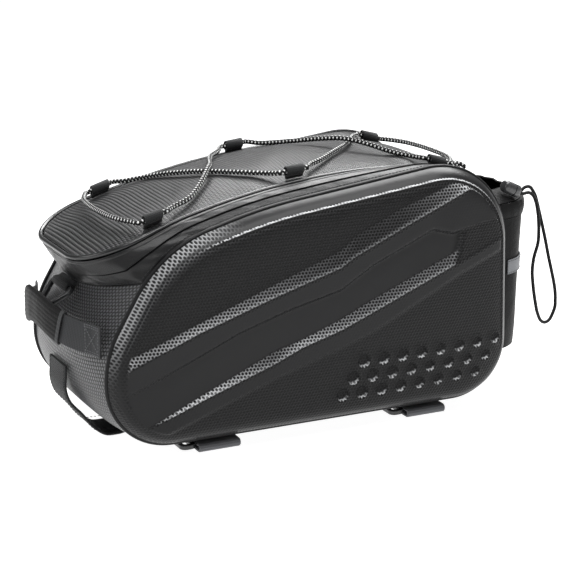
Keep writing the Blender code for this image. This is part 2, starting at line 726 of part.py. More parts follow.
def shell_pattern():
    """Return the points and edges of the shell's pressed pattern."""
    points, edges, raised = [], [], {}
    margin = SHELL_OUTER_INSETS[-1] + 0.003
    for crease in CREASES:
        runs = [crease_points(crease, margin)]
        if crease["name"] in ("channel_top", "lower_crease"):
            runs.append([point - Vector((0, CREASE_STEP)) for point in runs[0]])
        for run in runs:
            first = len(points)
            points += run
            edges += [(first + index, first + index + 1) for index in range(len(run) - 1)]
    for x, z, radius in shell_studs():
        for share, rise in ((1.0, 0.0), (0.70, STUD_RISE), (0.38, STUD_RISE * 0.2)):
            first = len(points)
            for side in range(6):
                angle = math.pi / 3 * side
                raised[len(points)] = rise
                points.append(Vector((x + radius * share * math.cos(angle),
                                      z + radius * share * math.sin(angle))))
            edges += [(first + side, first + (side + 1) % 6) for side in range(6)]
    return points, edges, raised


def fill_loop(loop, points, edges):
    """Triangulate the inside of a closed loop round points and edges."""
    count = len(loop)
    ring = [(index, (index + 1) % count) for index in range(count)]
    shifted = [(a + count, b + count) for a, b in edges]
    return delaunay_2d_cdt([Vector(point) for point in loop] + points, ring + shifted, [], 1, 1e-7)


def build_shell(name, side):
    """Build one moulded side shell; side is -1 for the near one."""
    vertices, faces = [], []

    def add_rings(insets, sink):
        start = len(vertices)
        for inset in insets:
            depth = max(shell_depth(inset) - sink, 0.0)
            for point in rim_inset(inset):
                vertices.append(Vector((point.x, side * (SHELL_EDGE_Y + depth), point.y)))
        faces.extend(grid_faces(len(insets), RIM_STATIONS, start, wrap_columns=True))
        return start

    def add_filling(loop_start, loop, points, edges, raised, sink, relief):
        flat, _, triangles, origins = fill_loop(loop, points, edges)[:4]
        index_of = {}
        for index, (place, origin) in enumerate(zip(flat, origins)):
            ring_index = next((source for source in origin if source < RIM_STATIONS), None)
            if ring_index is not None:
                index_of[index] = loop_start + ring_index
                continue
            depth = shell_depth(distance_to_rim(*place)) - sink
            if relief:
                depth += shell_relief(*place)
                depth += max((raised.get(source - RIM_STATIONS, 0.0) for source in origin), default=0.0)
            index_of[index] = len(vertices)
            vertices.append(Vector((place.x, side * (SHELL_EDGE_Y + depth), place.y)))
        faces.extend(tuple(index_of[corner] for corner in triangle) for triangle in triangles)

    outer = add_rings(SHELL_OUTER_INSETS, 0.0)
    last = outer + (len(SHELL_OUTER_INSETS) - 1) * RIM_STATIONS
    points, edges, raised = shell_pattern()
    add_filling(last, rim_inset(SHELL_OUTER_INSETS[-1]), points, edges, raised, 0.0, True)
    inner = len(vertices)
    add_rings(SHELL_INNER_INSETS, SHELL_WALL)
    for index in range(RIM_STATIONS):
        vertices[inner + index].y = side * SHELL_EDGE_Y
        after = (index + 1) % RIM_STATIONS
        faces.append((outer + index, outer + after, inner + after, inner + index))
    last = inner + (len(SHELL_INNER_INSETS) - 1) * RIM_STATIONS
    add_filling(last, rim_inset(SHELL_INNER_INSETS[-1]), [], [], {}, SHELL_WALL, False)
    return add_object(name, vertices, faces, "moulded_shell", 25)


SIDE_STATIONS = REAR_SEAM_STATION - FRONT_SEAM_STATION + 1
CROSS_STATIONS = 9


def lid_arch(x):
    """Return the height of the lid's edge at x."""
    if x < LID_APEX_X:
        share = (LID_APEX_X - x) / (LID_APEX_X + LID_NOSE_REACH)
        return LID_APEX_Z - LID_NOSE_FALL * share ** 2
    share = (x - LID_APEX_X) / (LID_TAIL_REACH - LID_APEX_X)
    return LID_APEX_Z - LID_TAIL_FALL * share ** 2.4


def lid_plan():
    """Return the lid's edge in plan, from the middle of the nose along the near side."""
    nose, tail = -LID_NOSE_REACH, LID_TAIL_REACH
    corners = [(nose, -LID_NOSE_HALF_WIDTH, LID_NOSE_HALF_WIDTH * 0.56),
               (nose * 0.60, -LID_MID_HALF_WIDTH, BODY_WIDTH),
               (tail, -LID_TAIL_HALF_WIDTH, LID_TAIL_HALF_WIDTH * 0.60),
               (tail, LID_TAIL_HALF_WIDTH, LID_TAIL_HALF_WIDTH * 0.60),
               (nose * 0.60, LID_MID_HALF_WIDTH, BODY_WIDTH),
               (nose, LID_NOSE_HALF_WIDTH, LID_NOSE_HALF_WIDTH * 0.56)]
    return [Vector((nose, 0.0))] + rounded_loop(corners)


LID_PLAN = lid_plan()


def lid_half_width(x):
    """Return the lid's half width at x."""
    near = [point for point in LID_PLAN if point.y <= 0]
    near.sort(key=lambda point: point.x)
    xs = [point.x for point in near]
    slot = next((index for index in range(len(xs) - 2) if x < xs[index + 1]), len(xs) - 2)
    share = (x - xs[slot]) / max(xs[slot + 1] - xs[slot], 1e-6)
    return max(-mix(near[slot].y, near[slot + 1].y, min(max(share, 0.0), 1.0)), 0.004)


def lid_surface(x, y):
    """Return the height of the domed lid over a point."""
    centre = (LID_TAIL_REACH - LID_NOSE_REACH) / 2
    half = (LID_TAIL_REACH + LID_NOSE_REACH) / 2
    crown = LID_CROWN * (1 - 0.55 * min(abs((x - centre) / half), 1.0) ** 2.5)
    share = min(abs(y) / lid_half_width(x), 1.0)
    nose = smooth_step(0.0, 0.035, x + LID_NOSE_REACH) * smooth_step(0.0, 0.030, LID_TAIL_REACH - x)
    return lid_arch(x) + crown * (1 - share ** 2.2) * nose


def lid_edge_loop():
    """Return the lid's edge in step with the loop of the seams below it.

    Both loops start in the middle of the nose and run back along the near side.
    """
    plan = LID_PLAN[1:] + LID_PLAN[:1]
    near = [point for point in plan if point.y <= 1e-9]
    corner_x = -LID_NOSE_REACH * 0.90
    tail_x = LID_TAIL_REACH * 0.955
    nose_end = next(index for index, point in enumerate(near) if point.x > corner_x and point.y < -0.03)
    tail_start = next(index for index, point in enumerate(near) if point.x > tail_x)
    half = CROSS_STATIONS // 2
    front = resample([Vector((-LID_NOSE_REACH, 0.0))] + near[:nose_end + 1], half + 1)
    side = resample(near[nose_end:tail_start + 1], SIDE_STATIONS)
    rear_line = near[tail_start:]
    rear_line = [point for point in rear_line if point.y < -1e-6] + [Vector((LID_TAIL_REACH, 0.0))]
    rear = resample(rear_line, half + 1)
    near_loop = front + side[1:] + rear[1:]
    loop = near_loop + [Vector((point.x, -point.y)) for point in reversed(near_loop[1:-1])]
    return [Vector((point.x, point.y, lid_arch(point.x))) for point in loop]


def band_foot_loop():
    """Return the seams at the foot of the zipped band, in step with the lid's edge."""
    half = CROSS_STATIONS // 2
    front = []
    for step in range(half + 1):
        across = -step / half
        front.append(gusset_point(front_top_station(across), across))
    side = [gusset_point(station, -1.0) for station in range(FRONT_SEAM_STATION, REAR_SEAM_STATION + 1)]
    rear = [gusset_point(REAR_SEAM_STATION, -1 + step / half) for step in range(half + 1)]
    near_loop = front + side[1:] + rear[1:]
    return near_loop + [Vector((point.x, -point.y, point.z)) for point in reversed(near_loop[1:-1])]


LID_EDGE = lid_edge_loop()
BAND_FOOT = band_foot_loop()


def band_point(index, share):
    """Return a point of the zipped band; share runs from its foot to the lid."""
    foot, top = BAND_FOOT[index], LID_EDGE[index]
    count = len(BAND_FOOT)
    along = BAND_FOOT[(index + 1) % count] - BAND_FOOT[index - 1]
    along += LID_EDGE[(index + 1) % count] - LID_EDGE[index - 1]
    outward = along.cross(top - foot).normalized()
    bulge = BAND_BULGE * (1 - (2 * share - 1) ** 2)
    return mix(foot, top, share) + outward * bulge


def band_share(index, distance):
    """Turn a distance square to the band's edge into a share of the band."""
    foot, top = BAND_FOOT[index], LID_EDGE[index]
    count = len(BAND_FOOT)
    along = (LID_EDGE[(index + 1) % count] - LID_EDGE[index - 1]).normalized()
    across = (top - foot).cross(along).length
    return distance / across


def build_band_strip(name, low, high, rows, wall, material_name):
    """Build one closed strip of the band; low and high are (share, distance past it)."""
    grid = []
    for row in range(rows):
        line = []
        for index in range(len(BAND_FOOT)):
            start = low[0] + band_share(index, low[1])
            end = high[0] + band_share(index, high[1])
            line.append(band_point(index, mix(start, end, row / (rows - 1))))
        grid.append(line)
    return walled_sheet(name, grid, wall, material_name, wrap=True)


def build_band():
    """Build the lower band, the zip and the upper band under the lid."""
    half = ZIP_WIDTH / 2
    build_band_strip("lower_band", (0.0, 2 * CLEARANCE), (0.5, -half - CLEARANCE), 3,
                     BAND_WALL, "coated_fabric")
    build_band_strip("zip_tape", (0.5, CLEARANCE - half), (0.5, half - CLEARANCE), 2,
                     BAND_WALL * 0.7, "webbing")
    build_band_strip("upper_band", (0.5, half + CLEARANCE), (1.0, -LID_PIPING_RADIUS - LID_SEAM_GAP), 2,
                     BAND_WALL, "coated_fabric")


def build_lid():
    """Build the domed lid panel inside its piping."""
    edge_gap = LID_PIPING_RADIUS + LID_SEAM_GAP
    nose_spine = -LID_NOSE_REACH + LID_NOSE_HALF_WIDTH
    tail_spine = LID_TAIL_REACH - LID_TAIL_HALF_WIDTH
    columns = len(LID_EDGE)
    grid = []
    for share in (1.0, 0.82, 0.48, 0.0):
        line = []
        for index, point in enumerate(LID_EDGE):
            along = (LID_EDGE[(index + 1) % columns] - LID_EDGE[index - 1]).xy.normalized()
            edge = point.xy + Vector((-along.y, along.x)) * edge_gap
            spine = Vector((min(max(edge.x, nose_spine), tail_spine), 0.0))
            place = mix(spine, edge, share)
            line.append(Vector((place.x, place.y, lid_surface(place.x, place.y))))
        grid.append(line)
    rows = len(grid)
    outer = [point for line in grid for point in line]
    inner = [point - Vector((0, 0, LID_WALL)) for point in outer]
    count = rows * columns
    faces = grid_faces(rows, columns, 0, wrap_columns=True)
    faces += grid_faces(rows, columns, count, wrap_columns=True)
    for column in range(columns):
        right = (column + 1) % columns
        faces.append((column, right, count + right, count + column))
    return add_object("lid", outer + inner, spine_merged(faces, outer + inner), "textured_fabric")


def spine_merged(faces, vertices):
    """Drop the corners of faces that fall together on the lid's spine."""
    kept = []
    for face in faces:
        corners = []
        for index in face:
            if all((vertices[index] - vertices[other]).length > 1e-6 for other in corners):
                corners.append(index)
        if len(corners) > 2:
            kept.append(tuple(corners))
    return kept


def build_pipings():
    """Build the piping cords of both side seams and of the lid."""
    for name, side in (("near_piping", -1), ("far_piping", 1)):
        path = [Vector((point.x, side * BODY_WIDTH / 2, point.y)) for point in RIM]
        swept_tube(name, path, RIM_PIPING_RADIUS, PIPING_SIDES, "piping")
    swept_tube("lid_piping", LID_EDGE, LID_PIPING_RADIUS, PIPING_SIDES, "piping")


def tab_centre(tab):
    """Return the middle of a cord tab's eye."""
    y = tab["side"] * TAB_SIDE_Y
    return Vector((tab["x"], y, lid_surface(tab["x"], y) + TAB_HEIGHT))


def build_cord_tabs():
    """Build the webbing tabs that hold the bungee cord at the lid's edge."""
    for tab in BUNGEE_TABS:
        centre = tab_centre(tab)
        foot = Vector((centre.y, centre.z - TAB_HEIGHT + 2 * CLEARANCE))
        sewn_loop("cord_tab_" + tab["name"], Vector((centre.y, centre.z)), foot, TAB_WIDTH,
                  TAB_EYE_RADIUS, TAB_WALL, "X", "webbing", centre=tab["x"], slope=tab_slope(tab))


def tab_slope(tab):
    """Return how steeply the lid rises along a tab's eye."""
    y = tab["side"] * TAB_SIDE_Y
    half = TAB_WIDTH / 2
    return (lid_surface(tab["x"] + half, y) - lid_surface(tab["x"] - half, y)) / TAB_WIDTH


def bungee_route():
    """Return the closed route of the bungee cord through its six tabs."""
    tabs = {tab["name"]: (tab_centre(tab), Vector((1, 0, tab_slope(tab)))) for tab in BUNGEE_TABS}
    mouth = TAB_WIDTH / 2 + 0.0005
    clear = mouth + 0.004
    points = []
    for start, leave, middle, end, arrive in BUNGEE_LEGS:
        eye, along = tabs[start]
        first = eye + along * (leave * clear)
        points += [eye, eye + along * (leave * mouth), first]
        eye, along = tabs[end]
        last = eye + along * (arrive * clear)
        for x, y, lift in middle:
            share = (Vector((x, y)) - first.xy).length
            share /= share + (Vector((x, y)) - last.xy).length
            resting = lid_surface(x, y) + BUNGEE_RADIUS + CLEARANCE * 2
            stretched = mix(first.z, last.z, share)
            height = max(resting, stretched if lift == 0 else resting)
            points.append(Vector((x, y, height + lift * (2 * BUNGEE_RADIUS + CLEARANCE * 2))))
        points += [last, eye + along * (arrive * mouth)]
    return smooth_curve(points, BUNGEE_SPACING, closed=True)


def build_bungee():
    """Build the bungee cord laced over the lid."""
    swept_tube("bungee", bungee_route(), BUNGEE_RADIUS, 8, "cord")


def ring_path(bar_z, hang_x, hang_z, bar_x):
    """Return the closed path of a trapezoid D-ring hanging from its bar."""
    wide, narrow = RING_BAR_HALF, RING_NOSE_HALF
    corners = [(-wide, 0.0), (wide, 0.0), (narrow, 1.0), (-narrow, 1.0)]
    run = Vector((hang_x - bar_x, 0, hang_z - bar_z))
    scaled = [(y, share * run.length, RING_BEND) for y, share in corners]
    loop = rounded_loop(scaled, 3)
    direction = run.normalized()
    return [Vector((bar_x, point.x, bar_z)) + direction * point.y for point in loop]


def build_d_ring(name, bar_x, bar_z, hang_x, hang_z, sewn_at):
    """Build a D-ring and the webbing tab that holds it."""
    path = ring_path(bar_z, hang_x, hang_z, bar_x)
    swept_tube(name + "_d_ring", path, RING_ROD_RADIUS, 6, "black_plastic")
    sewn_loop(name + "_ring_tab", Vector((bar_x, bar_z)), Vector(sewn_at), RING_TAB_WIDTH,
              RING_ROD_RADIUS + 2 * CLEARANCE, WEBBING, "Y", "webbing")


def build_rings():
    """Build the shoulder-strap D-rings at both ends."""
    front_top = gusset_point(front_top_station(0.0), 0.0)
    build_d_ring("front", front_top.x - 0.0075, front_top.z - 0.004, front_top.x - 0.0235,
                 front_top.z - 0.0175, (front_top.x - 0.0012, front_top.z + 0.0005))
    rear_edge = band_point(CROSS_STATIONS // 2 + SIDE_STATIONS + CROSS_STATIONS // 2 - 1, 0.25)
    build_d_ring("rear", rear_edge.x + 0.0065, rear_edge.z + 0.004, rear_edge.x + 0.0235,
                 rear_edge.z - 0.0045, (rear_edge.x + 0.0008, rear_edge.z + 0.0005))


def handle_curve():
    """Return the handle's middle line across the front, from near to far."""
    half = []
    for row in HANDLE_ROUTE:
        y = row["across"] * HANDLE_SEWN_HALF
        z = mix(HANDLE_END_Z, HANDLE_MID_Z, row["up"])
        panel = min(front_surface_x(z + side * HANDLE_HEIGHT / 2, y / GUSSET_HALF) for side in (-1, 0, 1))
        half.append(Vector((panel - WEBBING / 2 - 2 * CLEARANCE - row["out"] * HANDLE_REACH, -y, z)))
    return half + [Vector((point.x, -point.y, point.z)) for point in reversed(half[:-1])]


def swept_box(name, path, height, thickness, material_name, hollow=0.0):
    """Sweep an upright rectangle along a path that runs across Y."""
    sections = []
    for index, point in enumerate(path):
        along = (path[min(index + 1, len(path) - 1)] - path[max(index - 1, 0)])
        along = Vector((along.x, along.y, 0)).normalized()
        out = Vector((-along.y, along.x, 0))
        sections.append((point, out))
    corners = ((-1, -1), (1, -1), (1, 1), (-1, 1))
    vertices = []
    for grow in ((0.0, hollow) if hollow else (0.0,)):
        for point, out in sections:
            for side, level in corners:
                vertices.append(point + out * (side * (thickness / 2 + grow))
                                + Vector((0, 0, level * (height / 2 + grow))))
    rows = len(path)
    faces = grid_faces(rows, 4, 0, wrap_columns=True)
    if not hollow:
        faces += [(0, 1, 2, 3), tuple(4 * rows - 4 + index for index in range(4))]
        return add_object(name, vertices, faces, material_name)
    count = 4 * rows
    faces += grid_faces(rows, 4, count, wrap_columns=True)
    for index in range(4):
        after = (index + 1) % 4
        faces.append((index, after, count + after, count + index))
        last = count - 4
        faces.append((last + index, last + after, count + last + after, count + last + index))
    return add_object(name, vertices, faces, material_name)


def build_handle():
    """Build the carry handle and the sleeve over its middle."""
    curve = smooth_curve(handle_curve(), 0.0085)
    swept_box("handle_strap", curve, HANDLE_HEIGHT, WEBBING, "webbing")
    inside = [point for point in curve if abs(point.y) < SLEEVE_HALF]
    swept_box("handle_sleeve", inside, HANDLE_HEIGHT + 2 * CLEARANCE, WEBBING + 2 * CLEARANCE,
              "coated_fabric", hollow=(SLEEVE_HEIGHT - HANDLE_HEIGHT) / 2)


def build_seatpost_strap():
    """Build the strap that would hold the seat post, folded under the nose."""
    lowest = STRAP_THICKNESS / 2
    path = []
    for row in SEATPOST_ROUTE:
        z = row["up"] * SEATPOST_STRAP_TOP
        panel = front_surface_x(max(z, RIM_Z + 0.004))
        path.append(Vector((panel - row["out"] * SEATPOST_STRAP_WIDTH, z)))
    turn = path[-1].x
    reach = STRAP_THICKNESS
    path += [Vector((turn + 4.2 * reach, lowest + 0.7 * reach)), Vector((turn + 7.5 * reach, lowest)),
             Vector((turn + 12 * reach, lowest + 0.3 * reach)),
             Vector((turn + 18 * reach, BASE_Z - lowest - CLEARANCE))]
    path.append(path[-1] + Vector((8 * reach, 0)))
    profile = ribbon_profile(smooth_curve(path, 0.0075), STRAP_THICKNESS)
    half = SEATPOST_STRAP_WIDTH / 2
    extruded_band("seatpost_strap", profile, "Y", -half, half, "webbing")


def build_rack_straps():
    """Build the four folded rack straps and the plastic loops beside them."""
    upper = BASE_Z - CLEARANCE - STRAP_THICKNESS / 2
    lower = STRAP_THICKNESS / 2
    radius = (upper - lower) / 2
    for side_name, side in (("near", -1), ("far", 1)):
        for end_name, x in (("front", RACK_STRAP_FRONT_X), ("rear", RACK_STRAP_REAR_X)):
            turn_y = RACK_STRAP_REACH - radius - STRAP_THICKNESS / 2
            path = [Vector((RACK_STRAP_INNER, upper))]
            for step in range(7):
                angle = math.pi / 2 - math.pi * step / 6
                path.append(Vector((turn_y + radius * math.cos(angle), (upper + lower) / 2
                                    + radius * math.sin(angle))))
            path.append(Vector((RACK_STRAP_INNER, lower)))
            profile = [Vector((side * point.x, point.y)) for point in ribbon_profile(path, STRAP_THICKNESS)]
            name = side_name + "_" + end_name
            extruded_band(name + "_rack_strap", profile, "X", x - RACK_STRAP_WIDTH / 2,
                          x + RACK_STRAP_WIDTH / 2, "webbing")
            build_rack_loop(name + "_rack_loop", side, x - RACK_STRAP_WIDTH / 2 - RACK_LOOP_LENGTH / 2)


def build_rack_loop(name, side, x):
    """Build a flat plastic loop that stands beside a rack strap."""
    edge = RACK_STRAP_WIDTH / 2 - CLEARANCE
    length = RACK_LOOP_LENGTH - 2 * CLEARANCE
    middle_y = side * (RACK_STRAP_REACH - edge - 0.004)
    level = BASE_Z - CLEARANCE - RACK_LOOP_BAR
    corners = [(-length / 2, -edge, 0.003), (length / 2, -edge, 0.003),
               (length / 2, edge, 0.003), (-length / 2, edge, 0.003)]
    outline = resample(rounded_loop(corners, 3), 14, closed=True)
    path = [Vector((x + point.x * 0.70, middle_y + point.y * 0.9, level)) for point in outline]
    swept_tube(name, path, RACK_LOOP_BAR, 5, "black_plastic")


def pocket_point(theta, z, grow=0.0):
    """Return a point of the bottle pocket's outer face; theta runs from -90 to 90 degrees."""
    share = min(max((z - POCKET_FLOOR_Z) / (POCKET_TOP_Z - POCKET_FLOOR_Z), 0.0), 1.0)
    reach = mix(POCKET_FOOT_REACH, POCKET_REACH, share) + grow
    half = POCKET_HALF_WIDTH + grow
    y = half * math.copysign(abs(math.sin(theta)) ** 0.80, math.sin(theta))
    back = pocket_back_x(y, z)
    front = BODY_LENGTH / 2 + reach
    return Vector((mix(back, front, max(math.cos(theta), 0.0) ** 0.80), y, z))


def pocket_angles(limit=90.0):
    """Return the angles of the pocket's columns."""
    last = POCKET_COLUMNS - 1
    return [math.radians(limit * (2 * column / last - 1)) for column in range(POCKET_COLUMNS)]


def pocket_back(theta, z):
    """Return the pocket's point on the rear panel in line with one of its columns."""
    edge = pocket_point(theta, z)
    return Vector((pocket_back_x(edge.y, z), edge.y, z))


def pocket_back_x(y, z):
    """Return where the pocket meets the rear panel, clear of it over one wall's thickness."""
    across = y / GUSSET_HALF
    return max(rear_surface_x(z, across), rear_surface_x(z + CLOTH_WALL, across)) + POCKET_SEAM_GAP


def build_pocket():
    """Build the bottle pocket, its hem, its gathered collar and its reflective band."""
    angles = pocket_angles()
    wall_top = POCKET_TOP_Z - HEM_HEIGHT
    floor = [[mix(pocket_back(theta, POCKET_FLOOR_Z), pocket_point(theta, POCKET_FLOOR_Z), share)
              for theta in angles] for share in (0.0, 0.5)]
    levels = [RIM[station].y for station in range(BASE_REAR_STATION, REAR_SEAM_STATION, -1)]
    levels = [z for z in levels if POCKET_FLOOR_Z + 0.004 < z < wall_top - 0.004]
    wall = [[pocket_point(theta, z) for theta in angles] for z in [POCKET_FLOOR_Z] + levels + [wall_top]]
    walled_sheet("bottle_pocket", floor + wall, CLOTH_WALL, "coated_fabric")
    hem = [[pocket_point(theta, z, HEM_EXTRA) for theta in angles]
           for z in (wall_top + CLEARANCE, POCKET_TOP_Z)]
    walled_sheet("pocket_hem", hem, CLOTH_WALL + HEM_EXTRA, "coated_fabric")
    collar = []
    for share in (0.0, 0.5, 1.0):
        line = []
        for column, theta in enumerate(angles):
            base = pocket_point(theta, POCKET_TOP_Z)
            back = pocket_back(theta, POCKET_TOP_Z).x
            inset = mix(0.965, COLLAR_SHRINK, share)
            ruffle = COLLAR_RUFFLE * share * (1 if column % 2 else -1) * math.cos(theta)
            line.append(Vector((back + (base.x - back) * inset + ruffle, base.y * inset,
                                POCKET_TOP_Z + CLEARANCE + COLLAR_HEIGHT * share)))
        collar.append(line)
    walled_sheet("pocket_collar", collar, CLOTH_WALL * 0.6, "textured_fabric")
    band = [[pocket_point(theta, z, CLEARANCE + REFLECTOR_THICKNESS) for theta in pocket_angles(68)]
            for z in (REFLECTOR_LOW_Z, REFLECTOR_LOW_Z + REFLECTOR_HEIGHT)]
    walled_sheet("reflective_band", band, REFLECTOR_THICKNESS, "reflective_tape")


def build_drawcord():
    """Build the hanging drawcord loop and its cord lock."""
    route = smooth_curve(DRAWCORD_ROUTE, DRAWCORD_SPACING)
    curve = bpy.data.curves.new("drawcord", "CURVE")
    curve.dimensions = "3D"
    curve.bevel_depth = DRAWCORD_RADIUS
    curve.bevel_resolution = 2
    curve.render_resolution_u = 0
    curve.use_fill_caps = True
    spline = curve.splines.new("POLY")
    spline.points.add(len(route) - 1)
    for point, place in zip(spline.points, route):
        point.co = (place.x, place.y, place.z, 1.0)
    curve.materials.append(material("cord"))
    cord = bpy.data.objects.new("drawcord", curve)
    bpy.context.scene.collection.objects.link(cord)
    build_cord_lock()


def build_cord_lock():
    """Build the barrel lock that the drawcord's two ends come out of."""
    slant = math.radians(CORD_LOCK_SLANT)
    along = Vector((math.cos(slant), 0, -math.sin(slant)))
    above = Vector((math.sin(slant), 0, math.cos(slant)))
    end = Vector(CORD_LOCK_END)
    vertices = []
    for back, share in ((1.0, 0.72), (0.91, 1.0), (0.14, 1.0), (0.0, 0.86)):
        for side in range(LOCK_SIDES):
            angle = 2 * math.pi * side / LOCK_SIDES
            spread = Vector((0, math.cos(angle), 0)) + above * math.sin(angle)
            vertices.append(end - along * (back * CORD_LOCK_LENGTH) + spread * (share * CORD_LOCK_RADIUS))
    faces = grid_faces(4, LOCK_SIDES, 0, wrap_columns=True)
    faces += [tuple(range(LOCK_SIDES)), tuple(range(4 * LOCK_SIDES - 1, 3 * LOCK_SIDES - 1, -1))]
    add_object("cord_lock", vertices, faces, "black_plastic")


def stand_on_origin():
    """Carry every piece on one empty that centres the bag over the origin."""
    anchor = bpy.data.objects.new("bag_origin", None)
    bpy.context.scene.collection.objects.link(anchor)
    pieces = [item for item in bpy.context.scene.objects if item.type in {"MESH", "CURVE"}]
    solid = [vertex.co for item in pieces if item.type == "MESH" for vertex in item.data.vertices]
    middle_x = (min(point.x for point in solid) + max(point.x for point in solid)) / 2
    lowest = min(point.z for point in solid)
    for item in pieces:
        item.parent = anchor
    anchor.location = (-middle_x, 0.0, -lowest)


def main():
    """Build the whole bag."""
    clear_scene()
    build_shell("near_shell", -1)
    build_shell("far_shell", 1)
    build_gusset()
    build_band()
    build_lid()
    build_pipings()
    build_cord_tabs()
    build_bungee()
    build_rings()
    build_handle()
    build_seatpost_strap()
    build_rack_straps()
    build_pocket()
    build_drawcord()
    stand_on_origin()


main()
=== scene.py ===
"""Dressed rear-rack trunk bag: moulded shells, cloth panels, laced lid, straps and bottle pocket.

Metres, +Z up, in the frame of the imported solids. The nose points to -X, the
bottle pocket is at +X and the near side shell faces -Y. Shapes are worked out
in the bag's own frame and moved onto the solids as each mesh is made.
"""
import logging
import math
from dataclasses import dataclass
from enum import Enum
from functools import cached_property
from typing import Callable, Iterable, Sequence

import bmesh
import bpy
import numpy as np
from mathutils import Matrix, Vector
from mathutils.geometry import delaunay_2d_cdt


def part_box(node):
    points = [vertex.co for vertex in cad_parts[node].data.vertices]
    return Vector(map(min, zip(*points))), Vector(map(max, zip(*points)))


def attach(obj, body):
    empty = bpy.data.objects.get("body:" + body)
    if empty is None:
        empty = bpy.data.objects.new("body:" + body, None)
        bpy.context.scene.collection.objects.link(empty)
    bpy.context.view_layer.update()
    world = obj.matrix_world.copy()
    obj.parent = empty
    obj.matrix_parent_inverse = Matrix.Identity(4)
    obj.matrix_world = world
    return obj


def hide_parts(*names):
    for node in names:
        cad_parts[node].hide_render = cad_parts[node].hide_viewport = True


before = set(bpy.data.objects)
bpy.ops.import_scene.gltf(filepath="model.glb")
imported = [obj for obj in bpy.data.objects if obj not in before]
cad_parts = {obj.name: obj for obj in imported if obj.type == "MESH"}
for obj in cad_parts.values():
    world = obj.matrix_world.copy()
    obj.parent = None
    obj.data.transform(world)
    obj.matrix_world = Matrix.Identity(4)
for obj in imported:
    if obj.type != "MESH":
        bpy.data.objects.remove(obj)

logging.basicConfig(level=logging.INFO, format="%(message)s")
LOG = logging.getLogger("rack_bag")
MM = 0.001
ROOT = "root"
MATH, VECTOR_MATH = "ShaderNodeMath", "ShaderNodeVectorMath"
Grid = list[list[Vector]]
Values = float | np.ndarray


def mix(low: Values | Vector, high: Values | Vector, share: float) -> Values | Vector:
    """Blend two values or vectors."""
    return low + (high - low) * share


def smooth_step(low: float, high: float, value: Values) -> Values:
    """Rise smoothly from 0 at low to 1 at high; value may be an array."""
    share = np.clip((value - low) / (high - low), 0.0, 1.0)
    return share * share * (3 - 2 * share)


def read_line(xs: Sequence[float], ys: Sequence[float], x: Values) -> Values:
    """Read a polyline at x, running on straight past its ends; x may be an array.

    Args:
        xs: where the polyline's points lie, rising.
        ys: its values there.
        x: where to read it.

    Returns:
        the value or values at x.
    """
    xs, ys = np.asarray(xs, float), np.asarray(ys, float)
    slot = np.clip(np.searchsorted(xs, x, side="right") - 1, 0, len(xs) - 2)
    return ys[slot] + (ys[slot + 1] - ys[slot]) * (x - xs[slot]) / (xs[slot + 1] - xs[slot])


def rounded_loop(corners: Sequence[tuple[float, float, float]], steps: int = 12) -> list[Vector]:
    """Round the corners of a closed polygon with arcs.

    Args:
        corners: first, second and radius of each corner.
        steps: spans in each arc.

    Returns:
        The 2D points of the rounded outline.
    """
    points = []
    for index, (x, z, radius) in enumerate(corners):
        corner = Vector((x, z))
        before = (Vector(corners[index - 1][:2]) - corner).normalized()
        after = (Vector(corners[(index + 1) % len(corners)][:2]) - corner).normalized()
        half = before.angle(after) / 2
        centre = corner + (before + after).normalized() * (radius / math.sin(half))
        start = corner + before * (radius / math.tan(half)) - centre
        turn = start.angle_signed(corner + after * (radius / math.tan(half)) - centre)
        for step in range(steps + 1):
            angle = -turn * step / steps
            cosine, sine = math.cos(angle), math.sin(angle)
            points.append(centre + Vector((start.x * cosine - start.y * sine,
                                           start.x * sine + start.y * cosine)))
    return points


def resample(points: Sequence[Vector], count: int, closed: bool = False) -> list[Vector]:
    """Set count points evenly along a polyline.

    Args:
        points: the polyline.
        count: how many points to set.
        closed: whether its last point joins its first.

    Returns:
        the new points.
    """
    path = list(points) + ([points[0]] if closed else [])
    lengths = np.concatenate([[0.0], np.cumsum([(b - a).length for a, b in zip(path, path[1:])])])
    targets = np.linspace(0.0, lengths[-1], count, endpoint=not closed)
    table = np.array([tuple(point) for point in path])
    return [Vector(row) for row in
            np.stack([np.interp(targets, lengths, column) for column in table.T], axis=1)]


def smooth_curve(points: Iterable, spacing: float, closed: bool = False) -> list[Vector]:
    """Run a Catmull-Rom curve through points, with a step about every spacing.

    Args:
        points: the places that the curve runs through.
        spacing: about how far its steps lie apart, in metres.
        closed: whether it returns to its first point.

    Returns:
        the points of the curve.
    """
    knots = [Vector(point) for point in points]
    count = len(knots)
    path = []
    for index in range(count if closed else count - 1):
        if closed:
            p0, p1, p2, p3 = [knots[(index + step) % count] for step in (-1, 0, 1, 2)]
        else:
            p0, p1, p2, p3 = [knots[min(max(index + step, 0), count - 1)] for step in (-1, 0, 1, 2)]
        steps = max(1, round((p2 - p1).length / spacing))
        for step in range(steps):
            t = step / steps
            path.append(0.5 * (2 * p1 + (p2 - p0) * t + (2 * p0 - 5 * p1 + 4 * p2 - p3) * t ** 2
                               + (3 * p1 - p0 - 3 * p2 + p3) * t ** 3))
    if not closed:
        path.append(knots[-1])
    return path


def path_length(path: Sequence[Vector]) -> float:
    """Return the length of a polyline."""
    return sum((b - a).length for a, b in zip(path, path[1:]))


# Finishes


def linear(hex_colour: str) -> tuple[float, float, float, float]:
    """Turn an sRGB hex colour into linear RGBA."""
    values = [int(hex_colour[index:index + 2], 16) / 255 for index in (1, 3, 5)]
    return (*[v / 12.92 if v <= 0.04045 else ((v + 0.055) / 1.055) ** 2.4 for v in values], 1.0)


